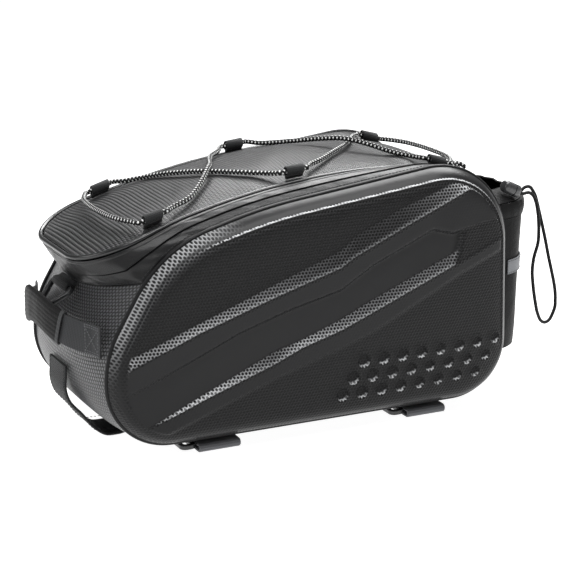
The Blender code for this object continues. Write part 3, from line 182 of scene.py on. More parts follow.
def add_node(tree: bpy.types.NodeTree, kind: str, inputs: dict | Sequence | None = None,
             **settings: object) -> bpy.types.Node:
    """Add a node with its settings, values and links.

    Args:
        tree: the tree it goes into.
        kind: the node's type name.
        inputs: a value or an output socket for each input, by name or in their order.
        **settings: the node's own properties.

    Returns:
        The new node.
    """
    node = tree.nodes.new(kind)
    for name, value in settings.items():
        setattr(node, name, value)
    inputs = inputs or {}
    for key, value in inputs.items() if isinstance(inputs, dict) else enumerate(inputs):
        if isinstance(value, bpy.types.NodeSocket):
            tree.links.new(value, node.inputs[key])
        else:
            node.inputs[key].default_value = value
    return node


@dataclass(frozen=True)
class Finish:
    """A finish with its Principled values; subclasses add their own pattern."""

    name: str
    colour: str
    shade: str
    roughness: float
    specular: float = 0.5
    sheen: float = 0.0

    def make(self) -> bpy.types.Material:
        """Return the finish's material, made at its first use.

        Returns:
            the material.
        """
        found = bpy.data.materials.get(self.name)
        if found:
            return found
        made = bpy.data.materials.new(self.name)
        made.use_nodes = True
        tree = made.node_tree
        shader = tree.nodes["Principled BSDF"]
        shader.inputs["Base Color"].default_value = linear(self.colour)
        shader.inputs["Roughness"].default_value = self.roughness
        shader.inputs["Specular IOR Level"].default_value = self.specular
        shader.inputs["Sheen Weight"].default_value = self.sheen
        shader.inputs["Sheen Roughness"].default_value = 0.4
        self.dress(tree, shader)
        return made

    def dress(self, tree: bpy.types.NodeTree, shader: bpy.types.Node) -> None:
        """Add the finish's pattern to its shader."""

    def colours(self, tree: bpy.types.NodeTree, shader: bpy.types.Node, factor: bpy.types.NodeSocket,
                lit: bpy.types.NodeSocket | None = None, bright: str = "") -> None:
        """Blend the base colour from colour to shade by factor, and then to bright by lit.

        Args:
            tree: the material's tree.
            shader: its principled shader.
            factor: 0 for the finish's colour and 1 for its shade.
            lit: 1 where the bright colour, a painted highlight, shows, or None.
            bright: the colour of the painted highlight.
        """
        # The colour blend's two colours are its inputs 6 and 7
        blend = add_node(tree, "ShaderNodeMix", {0: factor, 6: linear(self.colour), 7: linear(self.shade)},
                         data_type="RGBA")
        if lit is not None:
            blend = add_node(tree, "ShaderNodeMix", {0: lit, 6: blend.outputs[2], 7: linear(bright)},
                             data_type="RGBA")
        tree.links.new(blend.outputs[2], shader.inputs["Base Color"])

    def bump(self, tree: bpy.types.NodeTree, shader: bpy.types.Node,
             heights: Sequence[tuple[bpy.types.NodeSocket, float]]) -> None:
        """Chain bumps on the shader; each height has its depth in metres.

        Args:
            tree: the material's tree.
            shader: its principled shader.
            heights: pairs of a height from 0 to 1 and its depth in metres.
        """
        normal = None
        for height, depth in heights:
            node = add_node(tree, "ShaderNodeBump", {"Height": height, "Distance": depth})
            if normal is not None:
                tree.links.new(normal, node.inputs["Normal"])
            normal = node.outputs["Normal"]
        tree.links.new(normal, shader.inputs["Normal"])


def surface_uv(tree: bpy.types.NodeTree) -> bpy.types.NodeSocket:
    """Return the piece's own UV map, which holds metres along its surface."""
    return add_node(tree, "ShaderNodeUVMap", uv_map="surface").outputs["UV"]


def noise(tree: bpy.types.NodeTree, size: float, detail: float = 2.0) -> bpy.types.NodeSocket:
    """Return a noise whose blotches are about size metres across.

    Args:
        tree: the material's tree.
        size: width of a blotch, in metres.
        detail: how many finer layers it has.

    Returns:
        the noise, from 0 to 1.
    """
    place = add_node(tree, "ShaderNodeTexCoord").outputs["Object"]
    return add_node(tree, "ShaderNodeTexNoise",
                    {"Vector": place, "Scale": 1.0 / size, "Detail": detail}).outputs["Fac"]


def dimple_lattice(tree: bpy.types.NodeTree, pitch: float, low: float, high: float,
                   stretch: float = 1.0) -> bpy.types.NodeSocket:
    """Return 1 in the dimples of a honeycomb lattice and 0 on the web between.

    Args:
        tree: the material's tree.
        pitch: distance between neighbouring dimples, in metres.
        low: radius of a dimple's floor, as a share of the pitch.
        high: radius of its lip.
        stretch: how much wider the rows lie apart than in an even lattice.

    Returns:
        the socket that holds the pattern.
    """
    rows = 1 / (pitch * math.sqrt(3) * stretch)
    place = add_node(tree, VECTOR_MATH, (surface_uv(tree), (1 / pitch, rows, 0.0)),
                     operation="MULTIPLY").outputs[0]
    nearest = []
    for shift in (0.0, 0.5):
        moved = add_node(tree, VECTOR_MATH, (place, (shift, shift, 0.0)), operation="ADD").outputs[0]
        cell = add_node(tree, VECTOR_MATH, (moved,), operation="FRACTION").outputs[0]
        centred = add_node(tree, VECTOR_MATH, (cell, (0.5, 0.5, 0.0)), operation="SUBTRACT").outputs[0]
        even = add_node(tree, VECTOR_MATH, (centred, (1.0, math.sqrt(3), 0.0)),
                        operation="MULTIPLY").outputs[0]
        nearest.append(add_node(tree, VECTOR_MATH, (even,), operation="LENGTH").outputs[1])
    distance = add_node(tree, MATH, nearest, operation="MINIMUM").outputs[0]
    return add_node(tree, "ShaderNodeMapRange", {"Value": distance, "From Min": low, "From Max": high,
                                                 "To Min": 1.0, "To Max": 0.0},
                    interpolation_type="SMOOTHSTEP").outputs["Result"]


@dataclass(frozen=True)
class MouldedFoam(Finish):
    """EVA foam faced with a satin polyurethane film, thermoformed in a dimpled mould.

    The web between the dimples is painted with a highlight colour, most where it faces up, and the pits are
    painted near black as shade.
    """

    pitch: float = 2.8 * MM
    depth: float = 0.6 * MM
    # The next two set the painted highlight on the web that faces up: its strength and its colour.
    painted_highlight_strength: float = 1.0
    bright: str = "#c2c3c5"

    def dress(self, tree: bpy.types.NodeTree, shader: bpy.types.Node) -> None:
        """Press the dimples, fading them where their strength goes down to 0 or up to 2; paint the pits dark
        as shade and a highlight on the web where it faces up, so a strength near 2 shows as a bright bead.

        Args:
            tree: the material's tree.
            shader: its principled shader.
        """
        pits = dimple_lattice(tree, self.pitch, 0.25, 0.45)
        amount = add_node(tree, "ShaderNodeAttribute", attribute_name="dimples").outputs["Fac"]
        depth = add_node(tree, MATH, (amount, 1.0), operation="PINGPONG").outputs[0]
        pressed = add_node(tree, MATH, (pits, depth), operation="MULTIPLY").outputs[0]
        full = add_node(tree, MATH, (amount, 1.0), operation="MINIMUM").outputs[0]
        web = add_node(tree, MATH, (full, pressed), operation="SUBTRACT").outputs[0]
        # Painted highlight: the web is coloured toward bright where its normal faces up, standing in for the
        # top light.
        facing = add_node(tree, "ShaderNodeNewGeometry").outputs["Normal"]
        upward = add_node(tree, VECTOR_MATH, (facing, (-0.22, 0.0, 0.97)), operation="DOT_PRODUCT").outputs[1]
        raised = add_node(tree, "ShaderNodeMapRange", (upward, 0.16, 0.72, 0.0, self.painted_highlight_strength),
                          interpolation_type="SMOOTHSTEP").outputs["Result"]
        lit = add_node(tree, MATH, (web, raised), operation="MULTIPLY").outputs[0]
        # Painted shade darkens the pits; the painted highlight lightens the up-facing web.
        self.colours(tree, shader, pressed, lit, self.bright)
        rough = add_node(tree, "ShaderNodeMapRange",
                         (pressed, 0.0, 1.0, self.roughness, self.roughness + 0.22))
        tree.links.new(rough.outputs["Result"], shader.inputs["Roughness"])
        ground = add_node(tree, MATH, (1.0, pressed), operation="SUBTRACT").outputs[0]
        self.bump(tree, shader, [(ground, self.depth), (noise(tree, 0.9 * MM, 3.0), 0.04 * MM),
                                 (noise(tree, 26 * MM), 0.5 * MM)])


@dataclass(frozen=True)
class EmbossedCloth(Finish):
    """Polyester cloth with a polyurethane face rolled in a honeycomb of raised dots.

    The dots catch the light where the cloth faces up, and the ground between them is painted dark as shade,
    so the cloth looks speckled grey.
    """

    pitch: float = 2.3 * MM
    depth: float = 0.35 * MM
    stretch: float = 1.0

    def dress(self, tree: bpy.types.NodeTree, shader: bpy.types.Node) -> None:
        """Raise the dots and paint the ground between them darker as shade.

        Args:
            tree: the material's tree.
            shader: its principled shader.
        """
        dots = dimple_lattice(tree, self.pitch, 0.16, 0.46, self.stretch)
        ground = add_node(tree, MATH, (1.0, dots), operation="SUBTRACT").outputs[0]
        # Painted shade: the ground between the dots takes the dark second colour.
        self.colours(tree, shader, ground)
        self.bump(tree, shader, [(dots, self.depth), (noise(tree, 0.7 * MM), 0.05 * MM),
                                 (noise(tree, 22 * MM), 0.7 * MM)])


@dataclass(frozen=True)
class CoatedCloth(Finish):
    """Tight polyester cloth with a thin satin coating.

    The weave barely shows; the coating carries soft broad highlights and slight creases.
    """

    thread: float = 1.1 * MM

    def dress(self, tree: bpy.types.NodeTree, shader: bpy.types.Node) -> None:
        """Add a plain weave drawn about twice its real size, so that it shows, and soft creases.

        Args:
            tree: the material's tree.
            shader: its principled shader.
        """
        place = add_node(tree, VECTOR_MATH, (surface_uv(tree), (1 / self.thread, 1 / self.thread, 0.0)),
                         operation="MULTIPLY").outputs[0]
        checker = add_node(tree, "ShaderNodeTexChecker", {"Vector": place, "Scale": 1.0}).outputs["Fac"]
        creases = noise(tree, 14 * MM, 3.0)
        self.colours(tree, shader, creases)
        grain = noise(tree, 0.6 * MM)
        self.bump(tree, shader, [(checker, 0.05 * MM), (creases, 1.1 * MM), (grain, 0.03 * MM)])


@dataclass(frozen=True)
class WovenWebbing(Finish):
    """Polyester webbing: ribs run across the strap and fine twill lines along it.

    It is the mattest black of the bag, with a faint grey sheen at grazing angles.
    """

    rib: float = 1.5 * MM
    slant: float = 1.15

    def dress(self, tree: bpy.types.NodeTree, shader: bpy.types.Node) -> None:
        """Draw the ribs on the strap's length and the twill over them.

        Args:
            tree: the material's tree.
            shader: its principled shader.
        """
        parts = add_node(tree, "ShaderNodeSeparateXYZ", {0: surface_uv(tree)})
        across, along = parts.outputs[0], parts.outputs[1]
        turns = 2 * math.pi / self.rib
        phase = add_node(tree, MATH, (along, turns), operation="MULTIPLY").outputs[0]
        ribs = add_node(tree, MATH, (phase,), operation="SINE").outputs[0]
        lean = add_node(tree, MATH, (across, turns * self.slant, phase), operation="MULTIPLY_ADD").outputs[0]
        twill = add_node(tree, MATH, (lean,), operation="SINE").outputs[0]
        weave = add_node(tree, MATH, (ribs, twill), operation="MAXIMUM").outputs[0]
        height = add_node(tree, MATH, (weave, 0.5, 0.5), operation="MULTIPLY_ADD").outputs[0]
        self.colours(tree, shader, height)
        self.bump(tree, shader, [(height, 0.25 * MM), (noise(tree, 0.5 * MM), 0.08 * MM)])


@dataclass(frozen=True)
class Vinyl(Finish):
    """Extruded PVC piping or a bound tape: smooth, satin and faintly wavy."""

    def dress(self, tree: bpy.types.NodeTree, shader: bpy.types.Node) -> None:
        """Add slight waves and handling marks.

        Args:
            tree: the material's tree.
            shader: its principled shader.
        """
        marks = noise(tree, 5 * MM, 4.0)
        self.colours(tree, shader, marks)
        self.bump(tree, shader, [(marks, 0.25 * MM), (noise(tree, 0.5 * MM), 0.02 * MM)])


@dataclass(frozen=True)
class MouldedPlastic(Finish):
    """Injection-moulded acetal: black, spark-eroded to a fine satin grain, with a painted grey highlight on
    its edges, broken up by noise.
    """

    def dress(self, tree: bpy.types.NodeTree, shader: bpy.types.Node) -> None:
        """Add the fine grain, and a painted grey highlight on the sharp edges, broken up by noise.

        Args:
            tree: the material's tree.
            shader: its principled shader.
        """
        # Painted highlight: sharp edges, found by pointiness, are coloured grey.
        edge = add_node(tree, "ShaderNodeNewGeometry").outputs["Pointiness"]
        edge_highlight = add_node(tree, "ShaderNodeMapRange",
                        {"Value": edge, "From Min": 0.5, "From Max": 0.62}).outputs["Result"]
        scuffed_edge_highlight = add_node(tree, MATH, (edge_highlight, noise(tree, 2.5 * MM, 3.0)), operation="MULTIPLY").outputs[0]
        self.colours(tree, shader, scuffed_edge_highlight)
        self.bump(tree, shader, [(noise(tree, 0.35 * MM), 0.03 * MM), (noise(tree, 8 * MM), 0.15 * MM)])


class CordWeave(Enum):
    """How a braided cord is patterned."""

    FLECKED = "flecked"
    PLAIN = "plain"


@dataclass(frozen=True)
class BraidedCord(Finish):
    """Braided polyester sleeve over rubber: strands cross in two helices.

    Where the pale strand comes to the top it shows as a white fleck in black.
    """

    weave: CordWeave = CordWeave.FLECKED
    lay: float = 3.3 * MM
    turn: float = 12.6 * MM

    def dress(self, tree: bpy.types.NodeTree, shader: bpy.types.Node) -> None:
        """Cross two helices of strands and colour every other crossing.

        Args:
            tree: the material's tree.
            shader: its principled shader.
        """
        if self.weave is CordWeave.PLAIN:
            grain = noise(tree, 0.9 * MM, 2.0)
            self.colours(tree, shader, grain)
            self.bump(tree, shader, [(grain, 0.25 * MM)])
            return
        parts = add_node(tree, "ShaderNodeSeparateXYZ", {0: surface_uv(tree)})
        around = add_node(tree, MATH, (parts.outputs[0], 2.0 / self.turn), operation="MULTIPLY").outputs[0]
        along = add_node(tree, MATH, (parts.outputs[1], 1.0 / self.lay), operation="MULTIPLY").outputs[0]
        strands = []
        for operation in ("ADD", "SUBTRACT"):
            helix = add_node(tree, MATH, (along, around), operation=operation).outputs[0]
            wound = add_node(tree, MATH, (helix, 2 * math.pi), operation="MULTIPLY").outputs[0]
            strands.append(add_node(tree, MATH, (wound,), operation="SINE").outputs[0])
        crossing = add_node(tree, MATH, strands, operation="MINIMUM").outputs[0]
        fleck = add_node(tree, "ShaderNodeMapRange", {"Value": crossing, "From Min": 0.08, "From Max": 0.34},
                         interpolation_type="SMOOTHSTEP").outputs["Result"]
        self.colours(tree, shader, fleck)
        both = add_node(tree, MATH, strands, operation="MULTIPLY").outputs[0]
        relief = add_node(tree, MATH, (both,), operation="ABSOLUTE").outputs[0]
        self.bump(tree, shader, [(relief, 0.3 * MM)])


@dataclass(frozen=True)
class GlassBeadTape(Finish):
    """Reflective tape: grey resin full of glass beads, pressed with a fine honeycomb."""

    pitch: float = 1.6 * MM

    def dress(self, tree: bpy.types.NodeTree, shader: bpy.types.Node) -> None:
        """Press the honeycomb and scatter the beads' grain.

        Args:
            tree: the material's tree.
            shader: its principled shader.
        """
        cells = dimple_lattice(tree, self.pitch, 0.36, 0.52)
        self.colours(tree, shader, add_node(tree, MATH, (1.0, cells), operation="SUBTRACT").outputs[0])
        self.bump(tree, shader, [(cells, 0.08 * MM), (noise(tree, 0.4 * MM), 0.05 * MM)])


@dataclass(frozen=True)
class NappedTape(Finish):
    """Hook-and-loop tape: a matt nap of nylon loops."""

    def dress(self, tree: bpy.types.NodeTree, shader: bpy.types.Node) -> None:
        """Raise a deep fine nap.

        Args:
            tree: the material's tree.
            shader: its principled shader.
        """
        nap = noise(tree, 0.8 * MM, 4.0)
        self.colours(tree, shader, nap)
        self.bump(tree, shader, [(nap, 0.5 * MM)])


# The shell film's second colour is painted shade in the dimples' pits.
SHELL_FILM = MouldedFoam("moulded foam with satin film", "#161617", "#030303", 0.34, 0.22)
# LID_CLOTH, PANEL_CLOTH and COLLAR_CLOTH: the second colour is painted shade on the ground between the dots.
LID_CLOTH = EmbossedCloth("embossed coated cloth", "#27282a", "#040404", 0.40, 0.44,
                         pitch=2.6 * MM, depth=0.9 * MM, stretch=1.35)
PANEL_CLOTH = EmbossedCloth("embossed panel cloth", "#5a5b5e", "#060606", 0.36, 0.5,
                           pitch=3.5 * MM, depth=1.1 * MM)
COLLAR_CLOTH = EmbossedCloth("collar cloth", "#0e0e0f", "#060607", 0.60, 0.3, pitch=1.8 * MM, depth=0.2 * MM)
SATIN_CLOTH = CoatedCloth("satin coated cloth", "#161617", "#0f0f10", 0.40, 0.38)
POCKET_CLOTH = CoatedCloth("pocket cloth", "#0c0c0d", "#080808", 0.52, 0.12)
WEBBING_BLACK = WovenWebbing("black webbing", "#101011", "#222324", 0.74, 0.28, 0.15)
DULL_WEBBING = WovenWebbing("dull webbing", "#1d1e1f", "#303133", 0.74, 0.35, 0.15)
# A lighter copy of the webbing: painted light for the rack straps, which sit in the shade under the bag.
RACK_WEBBING_PAINTED_LIGHT = WovenWebbing("rack strap webbing painted lighter", "#505154", "#6c6d70", 0.74, 0.4, 0.15)
SLEEVE_CLOTH = CoatedCloth("sleeve cloth", "#0d0d0e", "#080808", 0.56, 0.18)
PIPING_VINYL = Vinyl("satin piping", "#1a1b1c", "#131414", 0.26, 0.55)
SEAM_VINYL = Vinyl("dull piping", "#151516", "#0f0f10", 0.46, 0.22)
BINDING_VINYL = Vinyl("bound edge", "#111112", "#0c0c0d", 0.38, 0.5)
# The acetal's grey second colour is a painted highlight on its edges.
BLACK_ACETAL = MouldedPlastic("black acetal", "#111213", "#6c6d6f", 0.27, 0.6)
FLECKED_CORD = BraidedCord("flecked elastic cord", "#070708", "#e4e5e4", 0.72, 0.3)
BLACK_CORD = BraidedCord("black drawcord", "#060607", "#101011", 0.70, 0.25, 0.1, CordWeave.PLAIN)
REFLECTIVE = GlassBeadTape("reflective tape", "#7c7e81", "#626468", 0.46, 0.35)
LOOP_TAPE = NappedTape("hook and loop tape", "#050506", "#0c0c0d", 0.9, 0.2, 0.1)
THREAD = Vinyl("bonded thread", "#2e2f30", "#222324", 0.5, 0.4)
PALE_THREAD = Vinyl("grey thread", "#68696b", "#4c4d4f", 0.55, 0.4)
EDGE_TAPE = WovenWebbing("binding tape", "#2c2d2e", "#3c3d3e", 0.70, 0.3, 0.15)
DARK_THREAD = Vinyl("black thread", "#131314", "#0d0d0e", 0.55, 0.4)
ZIP_TEETH = Vinyl("nylon zip coil", "#0b0b0c", "#080808", 0.4, 0.5)


# Meshes


class MeshSketch:
    """Collects points, faces, surface coordinates and masks, and makes one object of them."""

    offset = Vector((0.0, 0.0, 0.0))

    def __init__(self) -> None:
        """Start empty."""
        self.points: list[Vector] = []
        self.places: list[tuple[float, float]] = []
        self.masks: list[float] = []
        self.faces: list[tuple[int, ...]] = []

    def add(self, point: Vector, place: tuple[float, float], mask: float = 1.0) -> int:
        """Add a point with its surface coordinates and return its number.

        Args:
            point: its place.
            place: its surface coordinates, in metres.
            mask: strength of the dimples there.

        Returns:
            the point's number.
        """
        self.points.append(Vector(point))
        self.places.append(place)
        self.masks.append(mask)
        return len(self.points) - 1

    def add_quads(self, numbers: Sequence[Sequence[int]], wrap_rows: bool = False,
                  wrap_columns: bool = False) -> None:
        """Add the quads of a grid of point numbers.

        Args:
            numbers: rows of point numbers.
            wrap_rows: whether the last row joins the first.
            wrap_columns: whether each row's end joins its start.
        """
        rows, columns = len(numbers), len(numbers[0])
        for row in range(rows if wrap_rows else rows - 1):
            for column in range(columns if wrap_columns else columns - 1):
                right, below = (column + 1) % columns, (row + 1) % rows
                self.faces.append((numbers[row][column], numbers[row][right],
                                   numbers[below][right], numbers[below][column]))

    def build(self, name: str, finish: Finish, smooth_angle: float = 50.0,
              merge: float = 1e-5) -> bpy.types.Object:
        """Make the closed, outward-facing object, riding on the bag's body.

        Args:
            name: the piece's name.
            finish: its material.
            smooth_angle: edges sharper than this, in degrees, stay sharp.
            merge: points nearer than this become one.

        Returns:
            The new object.
        """
        shape = bmesh.new()
        surface = shape.loops.layers.uv.new("surface")
        # The dimples layer also sets how much of the shell's painted highlight shows.
        dimples = shape.verts.layers.float.new("dimples")
        placed = []
        for point, mask in zip(self.points, self.masks):
            vertex = shape.verts.new(point + self.offset)
            vertex[dimples] = mask
            placed.append(vertex)
        for face in self.faces:
            kept = list(dict.fromkeys(face))
            if len(kept) < 3:
                continue
            made_face = shape.faces.new([placed[index] for index in kept])
            for loop, index in zip(made_face.loops, kept):
                loop[surface].uv = self.places[index]
        bmesh.ops.remove_doubles(shape, verts=shape.verts, dist=merge)
        bmesh.ops.dissolve_degenerate(shape, edges=shape.edges, dist=merge / 2)
        bmesh.ops.recalc_face_normals(shape, faces=shape.faces)
        mesh = bpy.data.meshes.new(name)
        shape.to_mesh(mesh)
        shape.free()
        mesh.shade_smooth()
        mesh.set_sharp_from_angle(angle=math.radians(smooth_angle))
        return settle(mesh, name, finish)


def settle(mesh: bpy.types.Mesh, name: str, finish: Finish) -> bpy.types.Object:
    """Link a finished mesh as a piece that rides on the bag's body.

    Args:
        mesh: the finished mesh.
        name: the piece's name.
        finish: its finish.

    Returns:
        the linked piece.
    """
    mesh.name = name
    mesh.materials.clear()
    mesh.materials.append(finish.make())
    made = bpy.data.objects.new(name, mesh)
    bpy.context.scene.collection.objects.link(made)
    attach(made, ROOT)
    LOG.info("%s: %d faces", name, len(mesh.polygons))
    return made


def grid_normals(grid: Grid, wrap: bool) -> Grid:
    """Work out the normal of each grid point from its neighbours.

    Args:
        grid: rows of points.
        wrap: whether each row is closed.

    Returns:
        a normal for each point, in the same rows.
    """
    rows, columns = len(grid), len(grid[0])
    normals = []
    for row in range(rows):
        line = []
        for column in range(columns):
            if wrap:
                side = grid[row][(column + 1) % columns] - grid[row][column - 1]
            else:
                side = grid[row][min(column + 1, columns - 1)] - grid[row][max(column - 1, 0)]
            down = grid[min(row + 1, rows - 1)][column] - grid[max(row - 1, 0)][column]
            line.append(side.cross(down).normalized())
        normals.append(line)
    return normals


def walled_sheet(name: str, grid: Grid, wall: float, finish: Finish, wrap: bool = False,
                 inward: int = -1, smooth_angle: float = 50.0) -> bpy.types.Object:
    """Give a grid of points a wall, close its edges and make it a piece.

    Args:
        name: the piece's name.
        grid: rows of points on the visible face.
        wall: thickness in metres.
        finish: its material.
        wrap: whether each row closes on itself.
        inward: the wall's side of the grid.
        smooth_angle: edges sharper than this stay sharp.

    Returns:
        The new object.
    """
    sketch = MeshSketch()
    normals = grid_normals(grid, wrap)
    sheets = []
    for depth in (0.0, wall * inward):
        numbers = []
        down = 0.0
        for row, line in enumerate(grid):
            down += (line[0] - grid[row - 1][0]).length if row else 0.0
            along = 0.0
            number_line = []
            for column, point in enumerate(line):
                along += (point - line[column - 1]).length if column else 0.0
                number_line.append(sketch.add(point + normals[row][column] * depth, (along, down)))
            numbers.append(number_line)
        sheets.append(numbers)
    front, back = sheets
    sketch.add_quads(front, wrap_columns=wrap)
    sketch.add_quads([line[::-1] for line in back], wrap_columns=wrap)
    for edge, other in ((front[0], back[0]), (front[-1], back[-1])):
        sketch.add_quads([edge, other], wrap_columns=wrap)
    if not wrap:
        for column in (0, -1):
            sketch.add_quads([[line[column] for line in front], [line[column] for line in back]])
    return sketch.build(name, finish, smooth_angle)


def round_section(radius: float, sides: int) -> list[tuple[float, float]]:
    """Return the points of a round section."""
    return [(radius * math.cos(2 * math.pi * side / sides), radius * math.sin(2 * math.pi * side / sides))
            for side in range(sides)]


def flat_section(width: float, thickness: float, steps: int = 3) -> list[tuple[float, float]]:
    """Return the points of a flat section with rounded edges.

    Args:
        width: across the strap, in metres.
        thickness: through it.
        steps: how many points each rounded edge has.

    Returns:
        the section's points, in order round it.
    """
    radius = min(thickness * 0.48, width / 4)
    half_w, half_t = width / 2, thickness / 2
    outline = []
    for sign_w, sign_t, first in ((1, 1, 0), (-1, 1, 90), (-1, -1, 180), (1, -1, 270)):
        for step in range(steps + 1):
            angle = math.radians(first + 90 * step / steps)
            outline.append((sign_w * (half_w - radius) + radius * math.cos(angle),
                            sign_t * (half_t - radius) + radius * math.sin(angle)))
    return outline


def sweep(name: str, path: Sequence[Vector], section: Sequence[tuple[float, float]], finish: Finish,
          axis: Vector | None = None, closed: bool = False, taper: Callable[[float], float] | None = None,
          smooth_angle: float = 50.0) -> bpy.types.Object:
    """Sweep a section along a path.

    Args:
        name: the piece's name.
        path: points of the centre line.
        section: (across, out) pairs of the closed section.
        finish: its material.
        axis: direction that the section's across keeps; None carries it along.
        closed: whether the path closes on itself.
        taper: scale of the section at a share of the path.
        smooth_angle: edges sharper than this stay sharp.

    Returns:
        The new object.
    """
    sketch = MeshSketch()
    count = len(path)
    carried = axis
    perimeter = [0.0]
    for before, after in zip(section, list(section[1:]) + [section[0]]):
        perimeter.append(perimeter[-1] + math.dist(before, after))
    rows, travelled = [], 0.0
    for index, point in enumerate(path):
        if closed:
            along = path[(index + 1) % count] - path[index - 1]
        else:
            along = path[min(index + 1, count - 1)] - path[max(index - 1, 0)]
        along = along.normalized()
        if carried is None:
            carried = along.orthogonal().normalized()
        base = axis if axis is not None else carried
        across = (base - along * base.dot(along)).normalized()
        carried = across
        out = along.cross(across)
        travelled += (point - path[index - 1]).length if index else 0.0
        grow = taper(index / (count - 1)) if taper else 1.0
        rows.append([sketch.add(point + (across * a + out * b) * grow, (u, travelled))
                     for (a, b), u in zip(section, perimeter)])
    sketch.add_quads(rows, wrap_rows=closed, wrap_columns=True)
    if not closed:
        sketch.faces.append(tuple(rows[0]))
        sketch.faces.append(tuple(reversed(rows[-1])))
    return sketch.build(name, finish, smooth_angle)


# Repeats made with Geometry Nodes


class RepeatForm(Enum):
    """What a row of repeats is made of."""

    STITCH = "stitch"
    TOOTH = "tooth"


@dataclass(frozen=True)
class RepeatRow:
    """A Geometry Nodes tree that sets one small form again and again along lines."""

    form: RepeatForm
    pitch: float
    length: float
    thickness: float

    def tree(self, finish: Finish) -> bpy.types.NodeTree:
        """Build the tree, with its sizes as named inputs.

        Args:
            finish: the finish that the repeats get.

        Returns:
            the Geometry Nodes tree.
        """
        tree = bpy.data.node_groups.new(f"{self.form.value} row", "GeometryNodeTree")
        tree.interface.new_socket("Geometry", in_out="INPUT", socket_type="NodeSocketGeometry")
        for label, value in (("Pitch", self.pitch), ("Length", self.length), ("Thickness", self.thickness)):
            socket = tree.interface.new_socket(label, in_out="INPUT", socket_type="NodeSocketFloat")
            socket.default_value = value
        tree.interface.new_socket("Geometry", in_out="OUTPUT", socket_type="NodeSocketGeometry")
        source = add_node(tree, "NodeGroupInput").outputs
        smooth = add_node(tree, "GeometryNodeSetShadeSmooth", {"Geometry": self._stitches(tree, source)})
        plain = add_node(tree, "GeometryNodeRealizeInstances", {0: smooth.outputs[0]})
        coloured = add_node(tree, "GeometryNodeSetMaterial", {"Geometry": plain.outputs[0],
                                                              "Material": finish.make()})
        add_node(tree, "NodeGroupOutput", {0: coloured.outputs[0]})
        return tree

    def _stitches(self, tree: bpy.types.NodeTree, source: bpy.types.NodeOutputs) -> bpy.types.NodeSocket:
        """Set a rounded bar at every pitch along the lines, turned along them.

        Args:
            tree: the Geometry Nodes tree.
            source: its inputs: the lines and the sizes.

        Returns:
            the geometry of the bars, as instances.
        """
        curve = add_node(tree, "GeometryNodeMeshToCurve", {"Mesh": source["Geometry"]})
        points = add_node(tree, "GeometryNodeCurveToPoints", {"Curve": curve.outputs[0],
                                                              "Length": source["Pitch"]}, mode="LENGTH")
        bar = add_node(tree, "GeometryNodeMeshUVSphere", {"Segments": 8, "Rings": 6, "Radius": 0.5})
        size = add_node(tree, "ShaderNodeCombineXYZ", {0: source["Thickness"], 1: source["Thickness"],
                                                       2: source["Length"]})
        return add_node(tree, "GeometryNodeInstanceOnPoints",
                        {"Points": points.outputs["Points"], "Instance": bar.outputs["Mesh"],
                         "Rotation": points.outputs["Rotation"], "Scale": size.outputs[0]}).outputs[0]

    def _finish(self, mesh: bpy.types.Mesh, name: str, finish: Finish) -> bpy.types.Object:
        """Run the tree on a mesh and keep the result as a plain piece.

        Args:
            mesh: the lines that the repeats follow.
            name: the piece's name.
            finish: its finish.

        Returns:
            the piece.
        """
        holder = bpy.data.objects.new(name + "_lines", mesh)
        bpy.context.scene.collection.objects.link(holder)
        modifier = holder.modifiers.new("repeat", "NODES")
        modifier.node_group = self.tree(finish)
        for item in modifier.node_group.interface.items_tree:
            if item.in_out == "INPUT" and item.name in ("Pitch", "Length", "Thickness"):
                modifier[item.identifier] = getattr(self, item.name.lower())
        shown = holder.evaluated_get(bpy.context.evaluated_depsgraph_get())
        made = bpy.data.meshes.new_from_object(shown)
        bpy.data.objects.remove(holder)
        return settle(made, name, finish)

    def along(self, name: str, lines: Sequence[Sequence[Vector]], finish: Finish,
              closed: bool = False) -> bpy.types.Object:
        """Make the repeats along lines and keep them as one piece.

        Args:
            name: the piece's name.
            lines: the lines to follow.
            finish: its finish.
            closed: whether each line returns to its start.

        Returns:
            the piece.
        """
        points, edges = [], []
        for line in lines:
            first, count = len(points), len(line)
            points += [point + MeshSketch.offset for point in line]
            edges += [(first + step, first + (step + 1) % count)
                      for step in range(count if closed else count - 1)]
        mesh = bpy.data.meshes.new(name)
        mesh.from_pydata([tuple(point) for point in points], edges, [])
        return self._finish(mesh, name, finish)


# The bag's form


